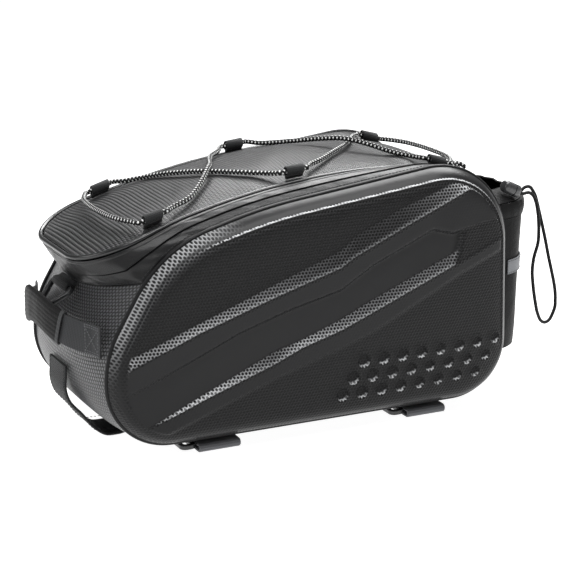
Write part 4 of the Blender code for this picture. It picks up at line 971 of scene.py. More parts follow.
@dataclass(frozen=True)
class BagForm:
    """Shape rules that all pieces of the bag share, in the bag's own frame."""

    length: float = 0.356
    height: float = 0.198
    width: float = 0.170
    rim_z: float = 0.0120
    base_drop: float = 0.0045
    rim_piping: float = 0.0018
    gap: float = 0.0003
    fine: int = 8
    stations: int = 52
    nose_reach: float = 0.187
    tail_reach: float = 0.172
    nose_half: float = 0.076
    mid_half: float = 0.066
    tail_half: float = 0.062
    apex_x: float = 0.060
    apex_z: float = 0.2088
    nose_fall: float = 0.0518
    tail_fall: float = 0.0268
    lid_crown: float = 0.008
    lid_piping: float = 0.0020
    band_bulge: float = 0.0018
    seam_sag: float = 0.062

    corners = ((-0.500, 0.000, 0.272), (-0.500, 0.391, 0.421), (-0.367, 0.788, 0.528),
               (-0.130, 0.908, 1.992), (0.485, 1.048, 0.339), (0.500, 0.000, 0.242))
    base_front = (-0.31, 0.00)
    front_seam = (-0.41, 0.66)
    rear_seam = (0.485, 0.775)
    base_rear = (0.30, 0.00)
    front_swell = {"along": (0.00, 0.20, 0.30, 0.49, 0.67, 0.85, 1.00),
                   "out": (0.000, 0.047, 0.070, 0.088, 0.100, 0.200, 0.280),
                   "drop": (1.0, 0.9, 0.4, 0.0, 0.0, 0.0, 0.0),
                   "flat": (6.0, 4.0, 3.0, 2.4, 2.2, 2.0, 1.8)}
    rear_swell = {"along": (0.00, 0.25, 0.45, 1.00), "out": (0.000, 0.040, 0.060, 0.050),
                  "drop": (1.0, 0.5, 0.0, 0.0), "flat": (6.0, 4.0, 2.4, 2.4)}

    @property
    def gusset_half(self) -> float:
        """Half the width of the cloth between the two side seams."""
        return self.width / 2 - self.rim_piping - self.gap

    @property
    def shell_edge_y(self) -> float:
        """Where the near shell's edge stands."""
        return self.width / 2 + 0.75 * self.rim_piping

    @cached_property
    def rim(self) -> list[Vector]:
        """The side seam, from the middle of the bottom forward, over the top and back."""
        corners = [(along * self.length, self.rim_z + up * self.height, radius * self.height)
                   for along, up, radius in self.corners]
        return resample([Vector((0.0, self.rim_z))] + rounded_loop(corners, 24),
                        self.stations * self.fine, closed=True)

    def rim_at(self, station: float) -> Vector:
        """Return the seam's point at a station that may lie between two.

        Args:
            station: a place along the seam, counted in its points.

        Returns:
            the point.
        """
        place = station * self.fine
        whole = math.floor(place)
        return mix(self.rim[whole % len(self.rim)], self.rim[(whole + 1) % len(self.rim)], place - whole)

    def rim_inset(self, inset: float) -> list[Vector]:
        """Return the seam moved inward by inset.

        Args:
            inset: how far to move it, in metres.

        Returns:
            the seam's points, moved.
        """
        moved = []
        for index, point in enumerate(self.rim):
            along = (self.rim[(index + 1) % len(self.rim)] - self.rim[index - 1]).normalized()
            moved.append(point + Vector((along.y, -along.x)) * inset)
        return moved

    def station_near(self, place: tuple[float, float]) -> int:
        """Find the whole station nearest to a place given in shares."""
        target = Vector((place[0] * self.length, self.rim_z + place[1] * self.height))
        return min(range(self.stations), key=lambda index: (self.rim_at(index) - target).length)

    @cached_property
    def seams(self) -> tuple[int, int, int, int]:
        """Stations of the base's front, the front seam, the rear seam and the base's rear."""
        return tuple(self.station_near(place) for place in
                     (self.base_front, self.front_seam, self.rear_seam, self.base_rear))

    def gusset_point(self, station: float, across: float) -> Vector:
        """Return the point of the gusset at a station; across runs from -1 to 1.

        Args:
            station: a place along the seam.
            across: -1 at the near seam, 1 at the far one.

        Returns:
            the point.
        """
        rim = self.rim_at(station)
        base_front, front_seam, rear_seam, base_rear = self.seams
        if base_front <= station <= front_seam + 1:
            share, rows, heading = (station - base_front) / (front_seam - base_front), self.front_swell, -1
        elif rear_seam - 1 <= station <= base_rear:
            share, rows, heading = (base_rear - station) / (base_rear - rear_seam), self.rear_swell, 1
        else:
            share, rows, heading = 0.0, self.front_swell, -1
        share = min(max(share, 0.0), 1.0)
        flat, out, drop = (float(np.interp(share, rows["along"], rows[key]))
                           for key in ("flat", "out", "drop"))
        swell = 1 - abs(across) ** flat
        return Vector((rim.x + heading * out * self.width / 2 * swell, across * self.gusset_half,
                       rim.y - drop * self.base_drop * swell))

    def panel_x(self, z: float, across: float, front: bool) -> float:
        """Return where the front or rear panel lies at a height.

        Args:
            z: the height.
            across: -1 at the near seam, 1 at the far one.
            front: whether the front panel is meant.

        Returns:
            the panel's x.
        """
        base_front, front_seam, rear_seam, base_rear = self.seams
        low, high = (base_front + 1.0, float(front_seam)) if front else (float(rear_seam), base_rear - 1.0)
        for _ in range(24):
            middle = (low + high) / 2
            if (self.gusset_point(middle, across).z < z) == front:
                low = middle
            else:
                high = middle
        return self.gusset_point(low, across).x

    def front_top_station(self, across: float) -> float:
        """Return the station of the front panel's top edge, lower in the middle."""
        return self.seams[1] - self.seam_sag * self.stations / 4 * (1 - across * across)

    def lid_arch(self, x: float) -> float:
        """Return the height of the lid's edge at x.

        Args:
            x: the place along the bag.

        Returns:
            the height.
        """
        if x < self.apex_x:
            share = (self.apex_x - x) / (self.apex_x + self.nose_reach)
            return self.apex_z - self.nose_fall * share ** 2
        share = (x - self.apex_x) / (self.tail_reach - self.apex_x)
        return self.apex_z - self.tail_fall * share ** 2.4

    @cached_property
    def lid_plan(self) -> list[Vector]:
        """The lid's edge in plan, from the middle of the nose along the near side."""
        nose, tail = -self.nose_reach, self.tail_reach
        near = [(nose, -self.nose_half, self.nose_half * 0.56), (nose * 0.60, -self.mid_half, self.width),
                (tail, -self.tail_half, self.tail_half * 0.60)]
        corners = near + [(x, -y, radius) for x, y, radius in reversed(near)]
        return [Vector((nose, 0.0))] + rounded_loop(corners, 36)

    @cached_property
    def lid_sides(self) -> tuple[np.ndarray, np.ndarray]:
        """The x and half width of the lid's near edge, in order of x."""
        near = sorted(((point.x, -point.y) for point in self.lid_plan if point.y <= 0))
        table = np.array(near)
        return table[:, 0], table[:, 1]

    def lid_height(self, x: float, y: float) -> float:
        """Return the height of the domed lid over a point.

        Args:
            x: the place along the bag.
            y: the place across it.

        Returns:
            the height.
        """
        centre = (self.tail_reach - self.nose_reach) / 2
        half = (self.tail_reach + self.nose_reach) / 2
        crown = self.lid_crown * (1 - 0.55 * min(abs((x - centre) / half), 1.0) ** 2.5)
        half_width = max(float(np.interp(x, *self.lid_sides)), 0.004)
        share = min(abs(y) / half_width, 1.0)
        ends = smooth_step(0.0, 0.035, x + self.nose_reach) * smooth_step(0.0, 0.030, self.tail_reach - x)
        return self.lid_arch(x) + crown * (1 - share ** 2.2) * float(ends)

    @cached_property
    def lid_edge(self) -> list[Vector]:
        """The lid's edge in step with the seams below it, from the nose along the near side."""
        plan = self.lid_plan[1:] + self.lid_plan[:1]
        near = [point for point in plan if point.y <= 1e-9]
        nose_end = next(i for i, point in enumerate(near)
                        if point.x > -self.nose_reach * 0.90 and point.y < -0.03)
        tail_start = next(i for i, point in enumerate(near) if point.x > self.tail_reach * 0.955)
        half = 4 * self.fine
        side_steps = (self.seams[2] - self.seams[1]) * self.fine
        front = resample([Vector((-self.nose_reach, 0.0))] + near[:nose_end + 1], half + 1)
        side = resample(near[nose_end:tail_start + 1], side_steps + 1)
        rear_line = [point for point in near[tail_start:] if point.y < -1e-6]
        rear_line.append(Vector((self.tail_reach, 0.0)))
        rear = resample(rear_line, half + 1)
        near_loop = front + side[1:] + rear[1:]
        loop = near_loop + [Vector((point.x, -point.y)) for point in reversed(near_loop[1:-1])]
        return [Vector((point.x, point.y, self.lid_arch(point.x))) for point in loop]

    @cached_property
    def band_foot(self) -> list[Vector]:
        """The seams at the foot of the zipped band, in step with the lid's edge."""
        half = 4 * self.fine
        front = []
        for step in range(half + 1):
            across = -step / half
            front.append(self.gusset_point(self.front_top_station(across), across))
        side = [self.gusset_point(self.seams[1] + step / self.fine, -1.0)
                for step in range((self.seams[2] - self.seams[1]) * self.fine + 1)]
        rear = [self.gusset_point(self.seams[2], -1 + step / half) for step in range(half + 1)]
        near_loop = front + side[1:] + rear[1:]
        return near_loop + [Vector((point.x, -point.y, point.z)) for point in reversed(near_loop[1:-1])]

    def band_frame(self, index: int) -> tuple[Vector, Vector, Vector]:
        """Return the direction along the band, the span up it and the direction out of it at an index.

        Args:
            index: which point of the lid's edge.

        Returns:
            the unit direction along, the span from foot to lid, and the unit direction out.
        """
        count, step = len(self.band_foot), self.fine
        foot, top = self.band_foot[index], self.lid_edge[index]
        along = self.band_foot[(index + step) % count] - self.band_foot[index - step]
        along += self.lid_edge[(index + step) % count] - self.lid_edge[index - step]
        return along.normalized(), (top - foot), along.cross(top - foot).normalized()

    def band_point(self, index: int, share: float, lift: float = 0.0) -> Vector:
        """Return a point of the zipped band; share runs from its foot to the lid.

        Args:
            index: which point of the lid's edge.
            share: 0 at the band's foot, 1 at the lid.
            lift: how far it stands out, in metres.

        Returns:
            the point.
        """
        _, up, outward = self.band_frame(index)
        bulge = self.band_bulge * (1 - (2 * share - 1) ** 2)
        return self.band_foot[index] + up * share + outward * (bulge + lift)

    def band_share(self, index: int, distance: float) -> float:
        """Turn a distance square to the band's edge into a share of the band."""
        along, up, _ = self.band_frame(index)
        return distance / up.cross(along).length

    def handle_line(self) -> list[Vector]:
        """Return the handle's middle line across the front, from near to far.

        Returns:
            the points of the line.
        """
        half = []
        for across, out, up in HANDLE_ROUTE:
            y, z = across * 0.076, mix(0.098, 0.111, up)
            panel = min(self.panel_x(z + side * 0.0125, y / self.gusset_half, True) for side in (-1, 0, 1))
            half.append(Vector((panel - 0.0014 - out * 0.0205, -y, z)))
        return half + [Vector((point.x, -point.y, point.z)) for point in reversed(half[:-1])]

    def tab_place(self, x: float, side: int) -> tuple[Vector, float]:
        """Return the middle of a cord tab's eye and how steeply the lid rises along it.

        Args:
            x: the tab's place along the bag.
            side: -1 for near, 1 for far.

        Returns:
            the eye's middle and the slope along x.
        """
        y = side * 0.0585
        slope = (self.lid_height(x + 0.0075, y) - self.lid_height(x - 0.0075, y)) / 0.015
        return Vector((x, y, self.lid_height(x, y) + 0.0068)), slope


# Handle route: across as a share of its half span, out of its reach, up of its rise
HANDLE_ROUTE = ((1.00, 0.00, 0.00), (0.86, 0.05, 0.02), (0.72, 0.28, 0.10), (0.56, 0.62, 0.30),
                (0.38, 0.86, 0.62), (0.18, 0.98, 0.92), (0.00, 1.00, 1.00))
# Cord tabs on the lid: place along the bag and side
CORD_TABS = {"near_front": (-0.127, -1), "near_middle": (-0.006, -1), "near_rear": (0.125, -1),
             "far_front": (-0.127, 1), "far_middle": (-0.006, 1), "far_rear": (0.125, 1)}
# Bungee legs: tab, side it leaves on, points chosen on the lid with a lift at crossings, tab, side it enters
BUNGEE_LEGS = (
    ("near_front", -1, ((-0.142, -0.052, 0), (-0.149, -0.036, 0), (-0.152, -0.014, 0),
                        (-0.152, 0.012, 0), (-0.149, 0.036, 0), (-0.142, 0.053, 0)), "far_front", -1),
    ("far_front", 1, ((-0.108, 0.052, 0), (-0.096, 0.042, 0), (-0.083, 0.024, 0), (-0.069, 0.004, 0),
                      (-0.057, -0.013, 0), (-0.040, -0.034, 0), (-0.024, -0.049, 0)), "near_middle", -1),
    ("near_middle", 1, ((0.012, -0.050, 0), (0.025, -0.043, 0), (0.042, -0.031, 0), (0.062, -0.014, 0),
                        (0.080, 0.010, 0), (0.096, 0.036, 0), (0.108, 0.052, 0)), "far_rear", -1),
    ("far_rear", 1, ((0.142, 0.052, 0), (0.149, 0.036, 0), (0.152, 0.014, 0),
                     (0.152, -0.014, 0), (0.149, -0.036, 0), (0.142, -0.052, 0)), "near_rear", 1),
    ("near_rear", -1, ((0.108, -0.049, 0), (0.094, -0.038, 0), (0.078, -0.024, 0.6), (0.064, -0.010, 1),
                       (0.050, 0.006, 0.6), (0.034, 0.026, 0), (0.016, 0.048, 0)), "far_middle", 1),
    ("far_middle", -1, ((-0.024, 0.050, 0), (-0.037, 0.036, 0), (-0.047, 0.016, 0.1), (-0.055, -0.004, 0.7),
                        (-0.062, -0.016, 1), (-0.073, -0.030, 0.5), (-0.090, -0.046, 0),
                        (-0.108, -0.053, 0)), "near_front", 1),
)
# Drawcord: x, y and z from the cord lock, down one strand and up the other
DRAWCORD_ROUTE = (
    (0.2186, -0.0418, 0.1695), (0.2218, -0.0418, 0.1684), (0.2265, -0.0418, 0.1690),
    (0.2315, -0.0418, 0.1662), (0.2352, -0.0418, 0.1590), (0.2375, -0.0420, 0.1480),
    (0.2385, -0.0424, 0.1340), (0.2378, -0.0428, 0.1230), (0.2340, -0.0432, 0.1110),
    (0.2325, -0.0435, 0.0990), (0.2350, -0.0435, 0.0790), (0.2400, -0.0425, 0.0600),
    (0.2445, -0.0412, 0.0520), (0.2500, -0.0400, 0.0490), (0.2560, -0.0388, 0.0510),
    (0.2615, -0.0375, 0.0600), (0.2618, -0.0368, 0.0750), (0.2588, -0.0362, 0.0900),
    (0.2545, -0.0358, 0.1060), (0.2500, -0.0356, 0.1240), (0.2455, -0.0356, 0.1400),
    (0.2415, -0.0358, 0.1530), (0.2372, -0.0363, 0.1650), (0.2318, -0.0368, 0.1722),
    (0.2262, -0.0372, 0.1728), (0.2220, -0.0372, 0.1700), (0.2186, -0.0372, 0.1697),
)
# Creases pressed in the side shells: rise in metres, shares of the length from the
# middle, shares of the height from the seam's lowest line, dimple strength above each
CREASES = (
    (0.0000, (-0.491, -0.307, -0.126, 0.038, 0.073, 0.189, 0.281),
     (0.371, 0.498, 0.618, 0.724, 0.776, 0.867, 0.917)),
    (0.0032, (-0.483, -0.307, -0.126, 0.038, 0.073, 0.208, 0.337),
     (0.334, 0.463, 0.568, 0.654, 0.692, 0.797, 0.894)),
    (0.0022, (-0.293, -0.209, -0.084, 0.039, 0.119, 0.273, 0.325, 0.363),
     (0.382, 0.447, 0.516, 0.567, 0.653, 0.770, 0.745, 0.757)),
    (-0.0012, (-0.293, -0.127, -0.059, 0.040, 0.120, 0.317),
     (0.207, 0.341, 0.374, 0.438, 0.503, 0.646)),
    (0.0022, (-0.387, -0.293, -0.127, -0.059, 0.040, 0.120, 0.344),
     (0.122, 0.190, 0.291, 0.344, 0.394, 0.451, 0.614)),
    (0.0017, (-0.326, -0.252, -0.127, -0.059, 0.040, 0.121, 0.352, 0.461),
     (0.103, 0.153, 0.234, 0.269, 0.322, 0.372, 0.574, 0.651)),
)


def stand_in(piece: bpy.types.Object, slot: str, *nodes: str) -> bpy.types.Object:
    """Hide the solids that a piece is shown for, and return the piece.

    Args:
        piece: the visual piece.
        slot: what it is made of; not used.
        nodes: names of the solids that it replaces.

    Returns:
        the same piece.
    """
    if nodes:
        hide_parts(*nodes)
    return piece


@dataclass
class SideShells:
    """The two moulded foam sides with their pressed creases, dimples and studs."""

    form: BagForm
    bulge: float = 0.0130
    crown: float = 0.0025
    shoulder: float = 0.0045
    wall: float = 0.003
    step: float = 0.003
    end_bevel: float = 0.008
    soften: float = 0.0008
    outer_insets: tuple[float, ...] = (0.0003, 0.0009, 0.0017, 0.0028, 0.0043, 0.0058, 0.0070, 0.0076, 0.0081,
                                       0.0086, 0.0091, 0.0097, 0.0108)
    border: float = 0.0084
    border_bead_width: float = 0.0009
    crease_bead_width: float = 0.0008
    border_bead: float = 0.0010
    edge_bead: float = 0.0006
    rim_web: float = 0.0045
    inner_insets: tuple[float, ...] = (0.0033, 0.011, 0.045)
    dimple_shares: tuple[float, ...] = (0.65, 1.0, 0.05, 0.5, 0.0, 1.0, 0.10, 0.55, 0.55)
    stud_lip: float = 0.0006
    stud_dish: float = 0.0018
    stud_rings: tuple[float, ...] = (0.0, 0.22, 0.42, 0.60, 0.76, 0.90, 1.02, 1.16)
    crease_rows: tuple[float, ...] = (-0.0011, -0.0004, 0.0004, 0.0011)
    column_pitch: float = 0.0016
    edge_margin: float = 0.0012
    row_gap: float = 0.0005
    row_pitch: float = 0.0017

    def lines(self, x: np.ndarray) -> tuple[list, list]:
        """Return the heights and rises of the crease lines over x.

        Args:
            x: places along the bag.

        Returns:
            the heights and the rises, each a list with an array for every line.
        """
        form, share = self.form, x / self.form.length
        fade = smooth_step(-0.46, -0.28, share)
        heights, rises = [], []
        for index, (rise, along, up) in enumerate(CREASES):
            height = form.rim_z + read_line(along, up, share) * form.height
            if index == 3:
                heights.append(heights[-1] - self.step)
                rises.append(rise + 0 * x)
            heights.append(np.minimum(height, heights[-1] - 0.0004) if heights else height)
            rises.append(rise * (fade if index in (2, 3, 4) else 1.0) + 0 * x)
        heights.append(heights[-1] - self.step)
        rises.append(0 * x)
        return heights, rises

    def pressed(self, x: np.ndarray, z: np.ndarray) -> tuple[np.ndarray, np.ndarray]:
        """Return how far the pattern stands out at points, and the dimples' strength there.

        Args:
            x: places along the bag, in metres.
            z: heights of the same points.

        Returns:
            the heights of the pattern and the dimples' strength.
        """
        heights, rises = self.lines(x)
        rise, strength = 0 * z, np.where(z >= heights[0], self.dimple_shares[0], self.dimple_shares[-1])
        for slot in range(len(heights) - 1):
            top, low = heights[slot], heights[slot + 1]
            inside = (z < top) & (z >= low)
            value = rises[slot + 1] + (rises[slot] - rises[slot + 1]) * (z - low) / (top - low)
            rise = np.where(inside, value, rise)
            strength = np.where(inside, self.dimple_shares[slot + 1], strength)
        # Crease beads get a strength of 1.5, which leaves their web unpitted for the painted highlight, a
        # bright bead.
        for height in (heights[1], heights[5]):
            bead = np.exp(-((z - height) / self.crease_bead_width) ** 2) * smooth_step(-0.150, -0.120, x)
            rise = rise + self.edge_bead * bead
            strength = np.where(bead > 0.4, 1.5, strength)
        form = self.form
        for stud_x, stud_z, radius in self.studs():
            away = np.hypot(x - stud_x, z - stud_z) / radius
            rise = rise + self.stud_lip * np.exp(-((away - 1.0) / 0.22) ** 2)
            rise = rise - self.stud_dish * (1 - smooth_step(0.66, 1.00, away))
            # Stud dishes get a strength of 1.3, so the painted highlight lights their up-facing web.
            strength = strength + (1.3 - strength) * (1 - smooth_step(0.85, 1.05, away))
        end = form.length * read_line((0.614, 0.757), (0.344, 0.363), (z - form.rim_z) / form.height)
        past = smooth_step(end - self.end_bevel, end, x)
        channel = (z > heights[5]) & (z < heights[2])
        rise = np.where(channel, rise + (rises[5] - rise) * past, rise)
        strength = np.where(channel, strength + (0.9 - strength) * past, strength)
        return rise, strength

    def relief(self, x: np.ndarray, z: np.ndarray) -> tuple[np.ndarray, np.ndarray]:
        """Average the pattern over a small height, so that its edges are rounded.

        Args:
            x: places along the bag, in metres.
            z: heights of the same points.

        Returns:
            the rounded heights and the dimples' strength.
        """
        samples = [self.pressed(x, z + self.soften * shift) for shift in (-1.0, -0.5, 0.0, 0.5, 1.0)]
        return (sum(sample[0] for sample in samples) / len(samples),
                sum(sample[1] for sample in samples) / len(samples))

    def rolled(self, x: float, z: float, inset: float) -> tuple[float, float]:
        """Return the bead inside the smooth rolled border, and the dimples' strength on and round it.

        Args:
            x: place along the bag.
            z: height.
            inset: distance from the side seam.

        Returns:
            the bead's height and the dimples' strength.
        """
        there = smooth_step(-0.115, -0.060, x) * smooth_step(0.030, 0.080, z)
        bead = self.border_bead * np.exp(-((inset - self.border) / self.border_bead_width) ** 2)
        # Strengths above 1 on the bead leave more web for the painted highlight, a bright beaded line.
        if inset > self.border + 0.0004:
            return bead * there, 0.3 + 0.5 * there
        if inset > self.border - 0.0010:
            return bead * there, 0.3 + 1.2 * there
        return bead * there, (0.5 if inset < self.rim_web else 0.12) * (1 - there)

    def depth(self, inset: np.ndarray) -> np.ndarray:
        """Return how far the plain shell stands out at an inset from its edge."""
        crown = 1 - (1 - np.minimum(inset / (self.form.height * 0.45), 1.0)) ** 2
        return self.bulge * (1 - np.exp(-inset / self.shoulder)) + self.crown * crown

    def rim_distance(self, x: np.ndarray, z: np.ndarray) -> np.ndarray:
        """Return each point's distance to the side seam.

        Args:
            x: places along the bag, in metres.
            z: heights of the same points.

        Returns:
            the distances.
        """
        rim = np.array([tuple(point) for point in self.form.rim[::2]])
        nearest = np.full(len(x), 1.0)
        for start, stop in zip(rim, np.roll(rim, -1, axis=0)):
            span = stop - start
            share = np.clip(((x - start[0]) * span[0] + (z - start[1]) * span[1]) / (span @ span), 0.0, 1.0)
            away = np.hypot(x - start[0] - span[0] * share, z - start[1] - span[1] * share)
            nearest = np.minimum(nearest, away)
        return nearest

    def inside_points(self, ring: Sequence[Vector]) -> list[Vector]:
        """Return points in rows that follow the creases, inside a ring.

        Args:
            ring: the ring that bounds them.

        Returns:
            the points.
        """
        points = []
        loop = np.array([tuple(point) for point in ring])
        after = np.roll(loop, -1, axis=0)
        for x in np.arange(loop[:, 0].min() + self.column_pitch, loop[:, 0].max(), self.column_pitch):
            cut = (loop[:, 0] > x) != (after[:, 0] > x)
            share = (x - loop[cut, 0]) / (after[cut, 0] - loop[cut, 0])
            crossings = np.sort(loop[cut, 1] + (after[cut, 1] - loop[cut, 1]) * share)
            low, high = crossings[0] + self.edge_margin, crossings[-1] - self.edge_margin
            heights = self.lines(np.array([x]))[0]
            marks = {float(height[0]) + shift for height in heights for shift in self.crease_rows}
            marks = sorted(mark for mark in marks | {low, high} if low <= mark <= high)
            column = [marks[0]] if marks else []
            for mark in marks[1:]:
                gap = mark - column[-1]
                if gap < self.row_gap:
                    continue
                count = max(1, round(gap / self.row_pitch))
                start = column[-1]
                column += [start + gap * (step + 1) / count for step in range(count)]
            points += [Vector((x, z)) for z in column]
        for x, z, radius in self.studs():
            centre = Vector((x, z))
            points = [point for point in points if (point - centre).length > 1.28 * radius]
        for x, z, radius in self.studs():
            for share in self.stud_rings:
                count = max(1, round(26 * share))
                points += [Vector((x + radius * share * math.cos(2 * math.pi * side / count),
                                   z + radius * share * math.sin(2 * math.pi * side / count)))
                           for side in range(count)]
        return points

    def studs(self) -> list[tuple[float, float, float]]:
        """Return the centre and radius of each round stud.

        Returns:
            an x, a z and a radius for each stud.
        """
        form, studs = self.form, []
        for row in range(3):
            for column in range(8):
                share = column / 7
                studs.append((0.101 * form.length - row * 0.0094 + column * 0.0177,
                              form.rim_z + 0.248 * form.height - row * 0.0132 + 0.0025 * share ** 3,
                              0.0062 * (1 - 0.22 * share)))
        return studs

    def build(self) -> None:
        """Make both shells with their rings of studs."""
        form = self.form
        outer_ring = form.rim_inset(self.outer_insets[-1])
        inner_ring = form.rim_inset(self.inner_insets[-1])
        count = len(outer_ring)
        fills = []
        for ring, points in ((outer_ring, self.inside_points(outer_ring)), (inner_ring, [])):
            edges = [(index, (index + 1) % count) for index in range(count)]
            flat, _, faces, origins = delaunay_2d_cdt(list(ring) + points, edges, [], 1, 1e-7)[:4]
            fills.append((flat, faces, [next((source for source in origin if source < count), None)
                                        for origin in origins]))
        for name, side in (("near", -1), ("far", 1)):
            self.build_side(name, side, fills)

    def build_side(self, name: str, side: int, fills: list) -> None:
        """Make one shell from its rings and fillings.

        Args:
            name: which side, for the piece's name.
            side: -1 for near, 1 for far.
            fills: for the outer and the inner face, the points inside the last ring, their faces
                and the ring's point that each stands for, if any.
        """
        form, sketch = self.form, MeshSketch()
        count = len(form.rim)
        edge_rows = []
        for insets, sink, (flat, faces, ring_of) in zip((self.outer_insets, self.inner_insets),
                                                        (0.0, self.wall), fills):
            rows = []
            for order, inset in enumerate(insets):
                depth = max(float(self.depth(np.array(inset))) - sink, 0.0)
                if sink and not order:
                    depth = 0.0
                row = []
                for point in form.rim_inset(inset):
                    bead, strength = self.rolled(point.x, point.y, inset)
                    reach = form.shell_edge_y + depth + (0.0 if sink else float(bead))
                    row.append(sketch.add(Vector((point.x, side * reach, point.y)), (point.x, point.y),
                                          float(strength)))
                rows.append(row)
            sketch.add_quads(rows, wrap_columns=True)
            edge_rows.append(rows[0])
            x, z = np.array([tuple(point) for point in flat]).T
            depths, strengths = self.depth(self.rim_distance(x, z)) - sink, np.ones(len(x))
            if not sink:
                rise, strengths = self.relief(x, z)
                depths = depths + rise
            numbers = []
            for place, depth, strength, ring in zip(flat, depths, strengths, ring_of):
                if ring is not None:
                    numbers.append(rows[-1][ring])
                    continue
                out = side * (form.shell_edge_y + float(depth))
                numbers.append(sketch.add(Vector((place.x, out, place.y)), (place.x, place.y),
                                          float(strength)))
            sketch.faces += [tuple(numbers[corner] for corner in face) for face in faces]
        sketch.add_quads(edge_rows, wrap_columns=True)
        shell = sketch.build(f"{name}_moulded_shell", SHELL_FILM, 60.0)
        stand_in(shell, "moulded_shell", f"{name}_shell")


@dataclass
class Gusset:
    """The cloth between the shells: base, front and rear panels and the side pipings."""

    form: BagForm
    wall: float = 0.002
    columns: int = 25
    rows: int = 44

    def build(self) -> None:
        """Make the three panels and the two side pipings."""
        form = self.form
        base_front, front_seam, rear_seam, base_rear = form.seams
        gap = form.gap / (form.rim_at(1) - form.rim_at(0)).length
        across = np.linspace(-1.0, 1.0, self.columns)
        base = [[form.gusset_point(float(station) % form.stations, float(y)) for y in across]
                for station in np.linspace(base_rear + gap, form.stations + base_front - gap, self.rows)]
        front = [[form.gusset_point(mix(base_front, form.front_top_station(float(y)), float(share)), float(y))
                  for y in across] for share in np.linspace(0.0, 1.0, self.rows)]
        rear = [[form.gusset_point(float(station), float(y)) for y in across]
                for station in np.linspace(rear_seam, base_rear, self.rows)]
        for name, grid, finish, slot in (("base", base, SATIN_CLOTH, "coated_fabric"),
                                         ("front", front, PANEL_CLOTH, "textured_fabric"),
                                         ("rear", rear, SATIN_CLOTH, "coated_fabric")):
            panel = walled_sheet(f"{name}_cloth", grid, self.wall, finish, inward=1)
            stand_in(panel, slot, f"{name}_panel")
        for name, side in (("near", -1), ("far", 1)):
            path = [Vector((point.x, side * form.width / 2, point.y)) for point in form.rim]
            piping = sweep(f"{name}_seam_piping", path, round_section(form.rim_piping, 10), SEAM_VINYL,
                           closed=True)
            stand_in(piping, "piping", f"{name}_piping")


@dataclass
class ZippedBand:
    """The band under the lid: two cloth strips, the zip between them and a bound edge above."""

    form: BagForm
    wall: float = 0.0016
    zip_width: float = 0.0046
    flap_edge: float = -0.0013
    flap_lift: float = 0.0008
    flap_wall: float = 0.0007
    fold_depth: float = 0.0007
    fold_pitch: float = 0.021

    def strip(self, name: str, low: tuple[float, float], high: tuple[float, float], rows: int,
              finish: Finish, lift: float, wall: float, folds: float) -> bpy.types.Object:
        """Make one strip between two shares of the band, each with a distance past it.

        Args:
            name: the piece's name.
            low: share of its lower edge and the distance past it.
            high: the same for its upper edge.
            rows: how many rows of points it has.
            finish: its finish.
            lift: how far it stands out.
            wall: its thickness.
            folds: height of its folds.

        Returns:
            the piece.
        """
        form, grid = self.form, []
        count = len(form.band_foot)
        pitch = path_length(form.lid_edge) / count
        for row in range(rows):
            line = []
            for index in range(count):
                start = low[0] + form.band_share(index, low[1])
                end = high[0] + form.band_share(index, high[1])
                share = row / (rows - 1)
                from_nose = min(index, count - index) * pitch
                weight = float(smooth_step(0.30, 0.02, from_nose)) * math.sin(math.pi * share)
                wave = math.sin(2 * math.pi * index * pitch / self.fold_pitch + 2.5 * share)
                wave += 0.6 * math.sin(2 * math.pi * index * pitch / (self.fold_pitch * 1.73) - 1.2)
                line.append(form.band_point(index, mix(start, end, share), lift + folds * weight * wave))
            grid.append(line)
        return walled_sheet(name, grid, wall, finish, wrap=True)

    def build(self) -> None:
        """Make the strips, the zip's teeth, the bound edge and the seam's stitching."""
        form, half = self.form, self.zip_width / 2
        lower = self.strip("lower_band_cloth", (0.0, 2 * form.gap), (0.5, -half - form.gap), 9, SATIN_CLOTH,
                           0.0, self.wall, self.fold_depth)
        stand_in(lower, "coated_fabric", "lower_band")
        tape = self.strip("zip_tape_cloth", (0.5, form.gap - half), (0.5, half - form.gap), 3, LOOP_TAPE,
                          -0.0004, self.wall * 0.7, 0.0)
        stand_in(tape, "webbing", "zip_tape")
        upper = self.strip("upper_band_cloth", (0.5, self.flap_edge), (1.0, -form.lid_piping - 0.0008), 7,
                           SATIN_CLOTH, self.flap_lift, self.flap_wall, self.fold_depth * 0.5)
        stand_in(upper, "coated_fabric", "upper_band")
        count = len(form.band_foot)
        middle = [form.band_point(index, 0.5, -0.0010) for index in range(count)]
        coil = RepeatRow(RepeatForm.TOOTH, pitch=0.0019, length=0.0012, thickness=0.0017)
        teeth = coil.along("zip_coil", [middle], ZIP_TEETH, True)
        stand_in(teeth, "webbing")
        edge = [form.band_point(index, 1 - form.band_share(index, 0.0052), 0.0003) for index in range(count)]
        bound = sweep("lid_bound_edge", edge, round_section(0.0010, 8), BINDING_VINYL, closed=True)
        stand_in(bound, "piping")
        seam = [form.band_point(index, form.band_share(index, 0.0024), 0.0002) for index in range(count)]
        row = RepeatRow(RepeatForm.STITCH, pitch=0.0032, length=0.0024, thickness=0.0006)
        stand_in(row.along("band_stitching", [seam], THREAD, True), "coated_fabric")


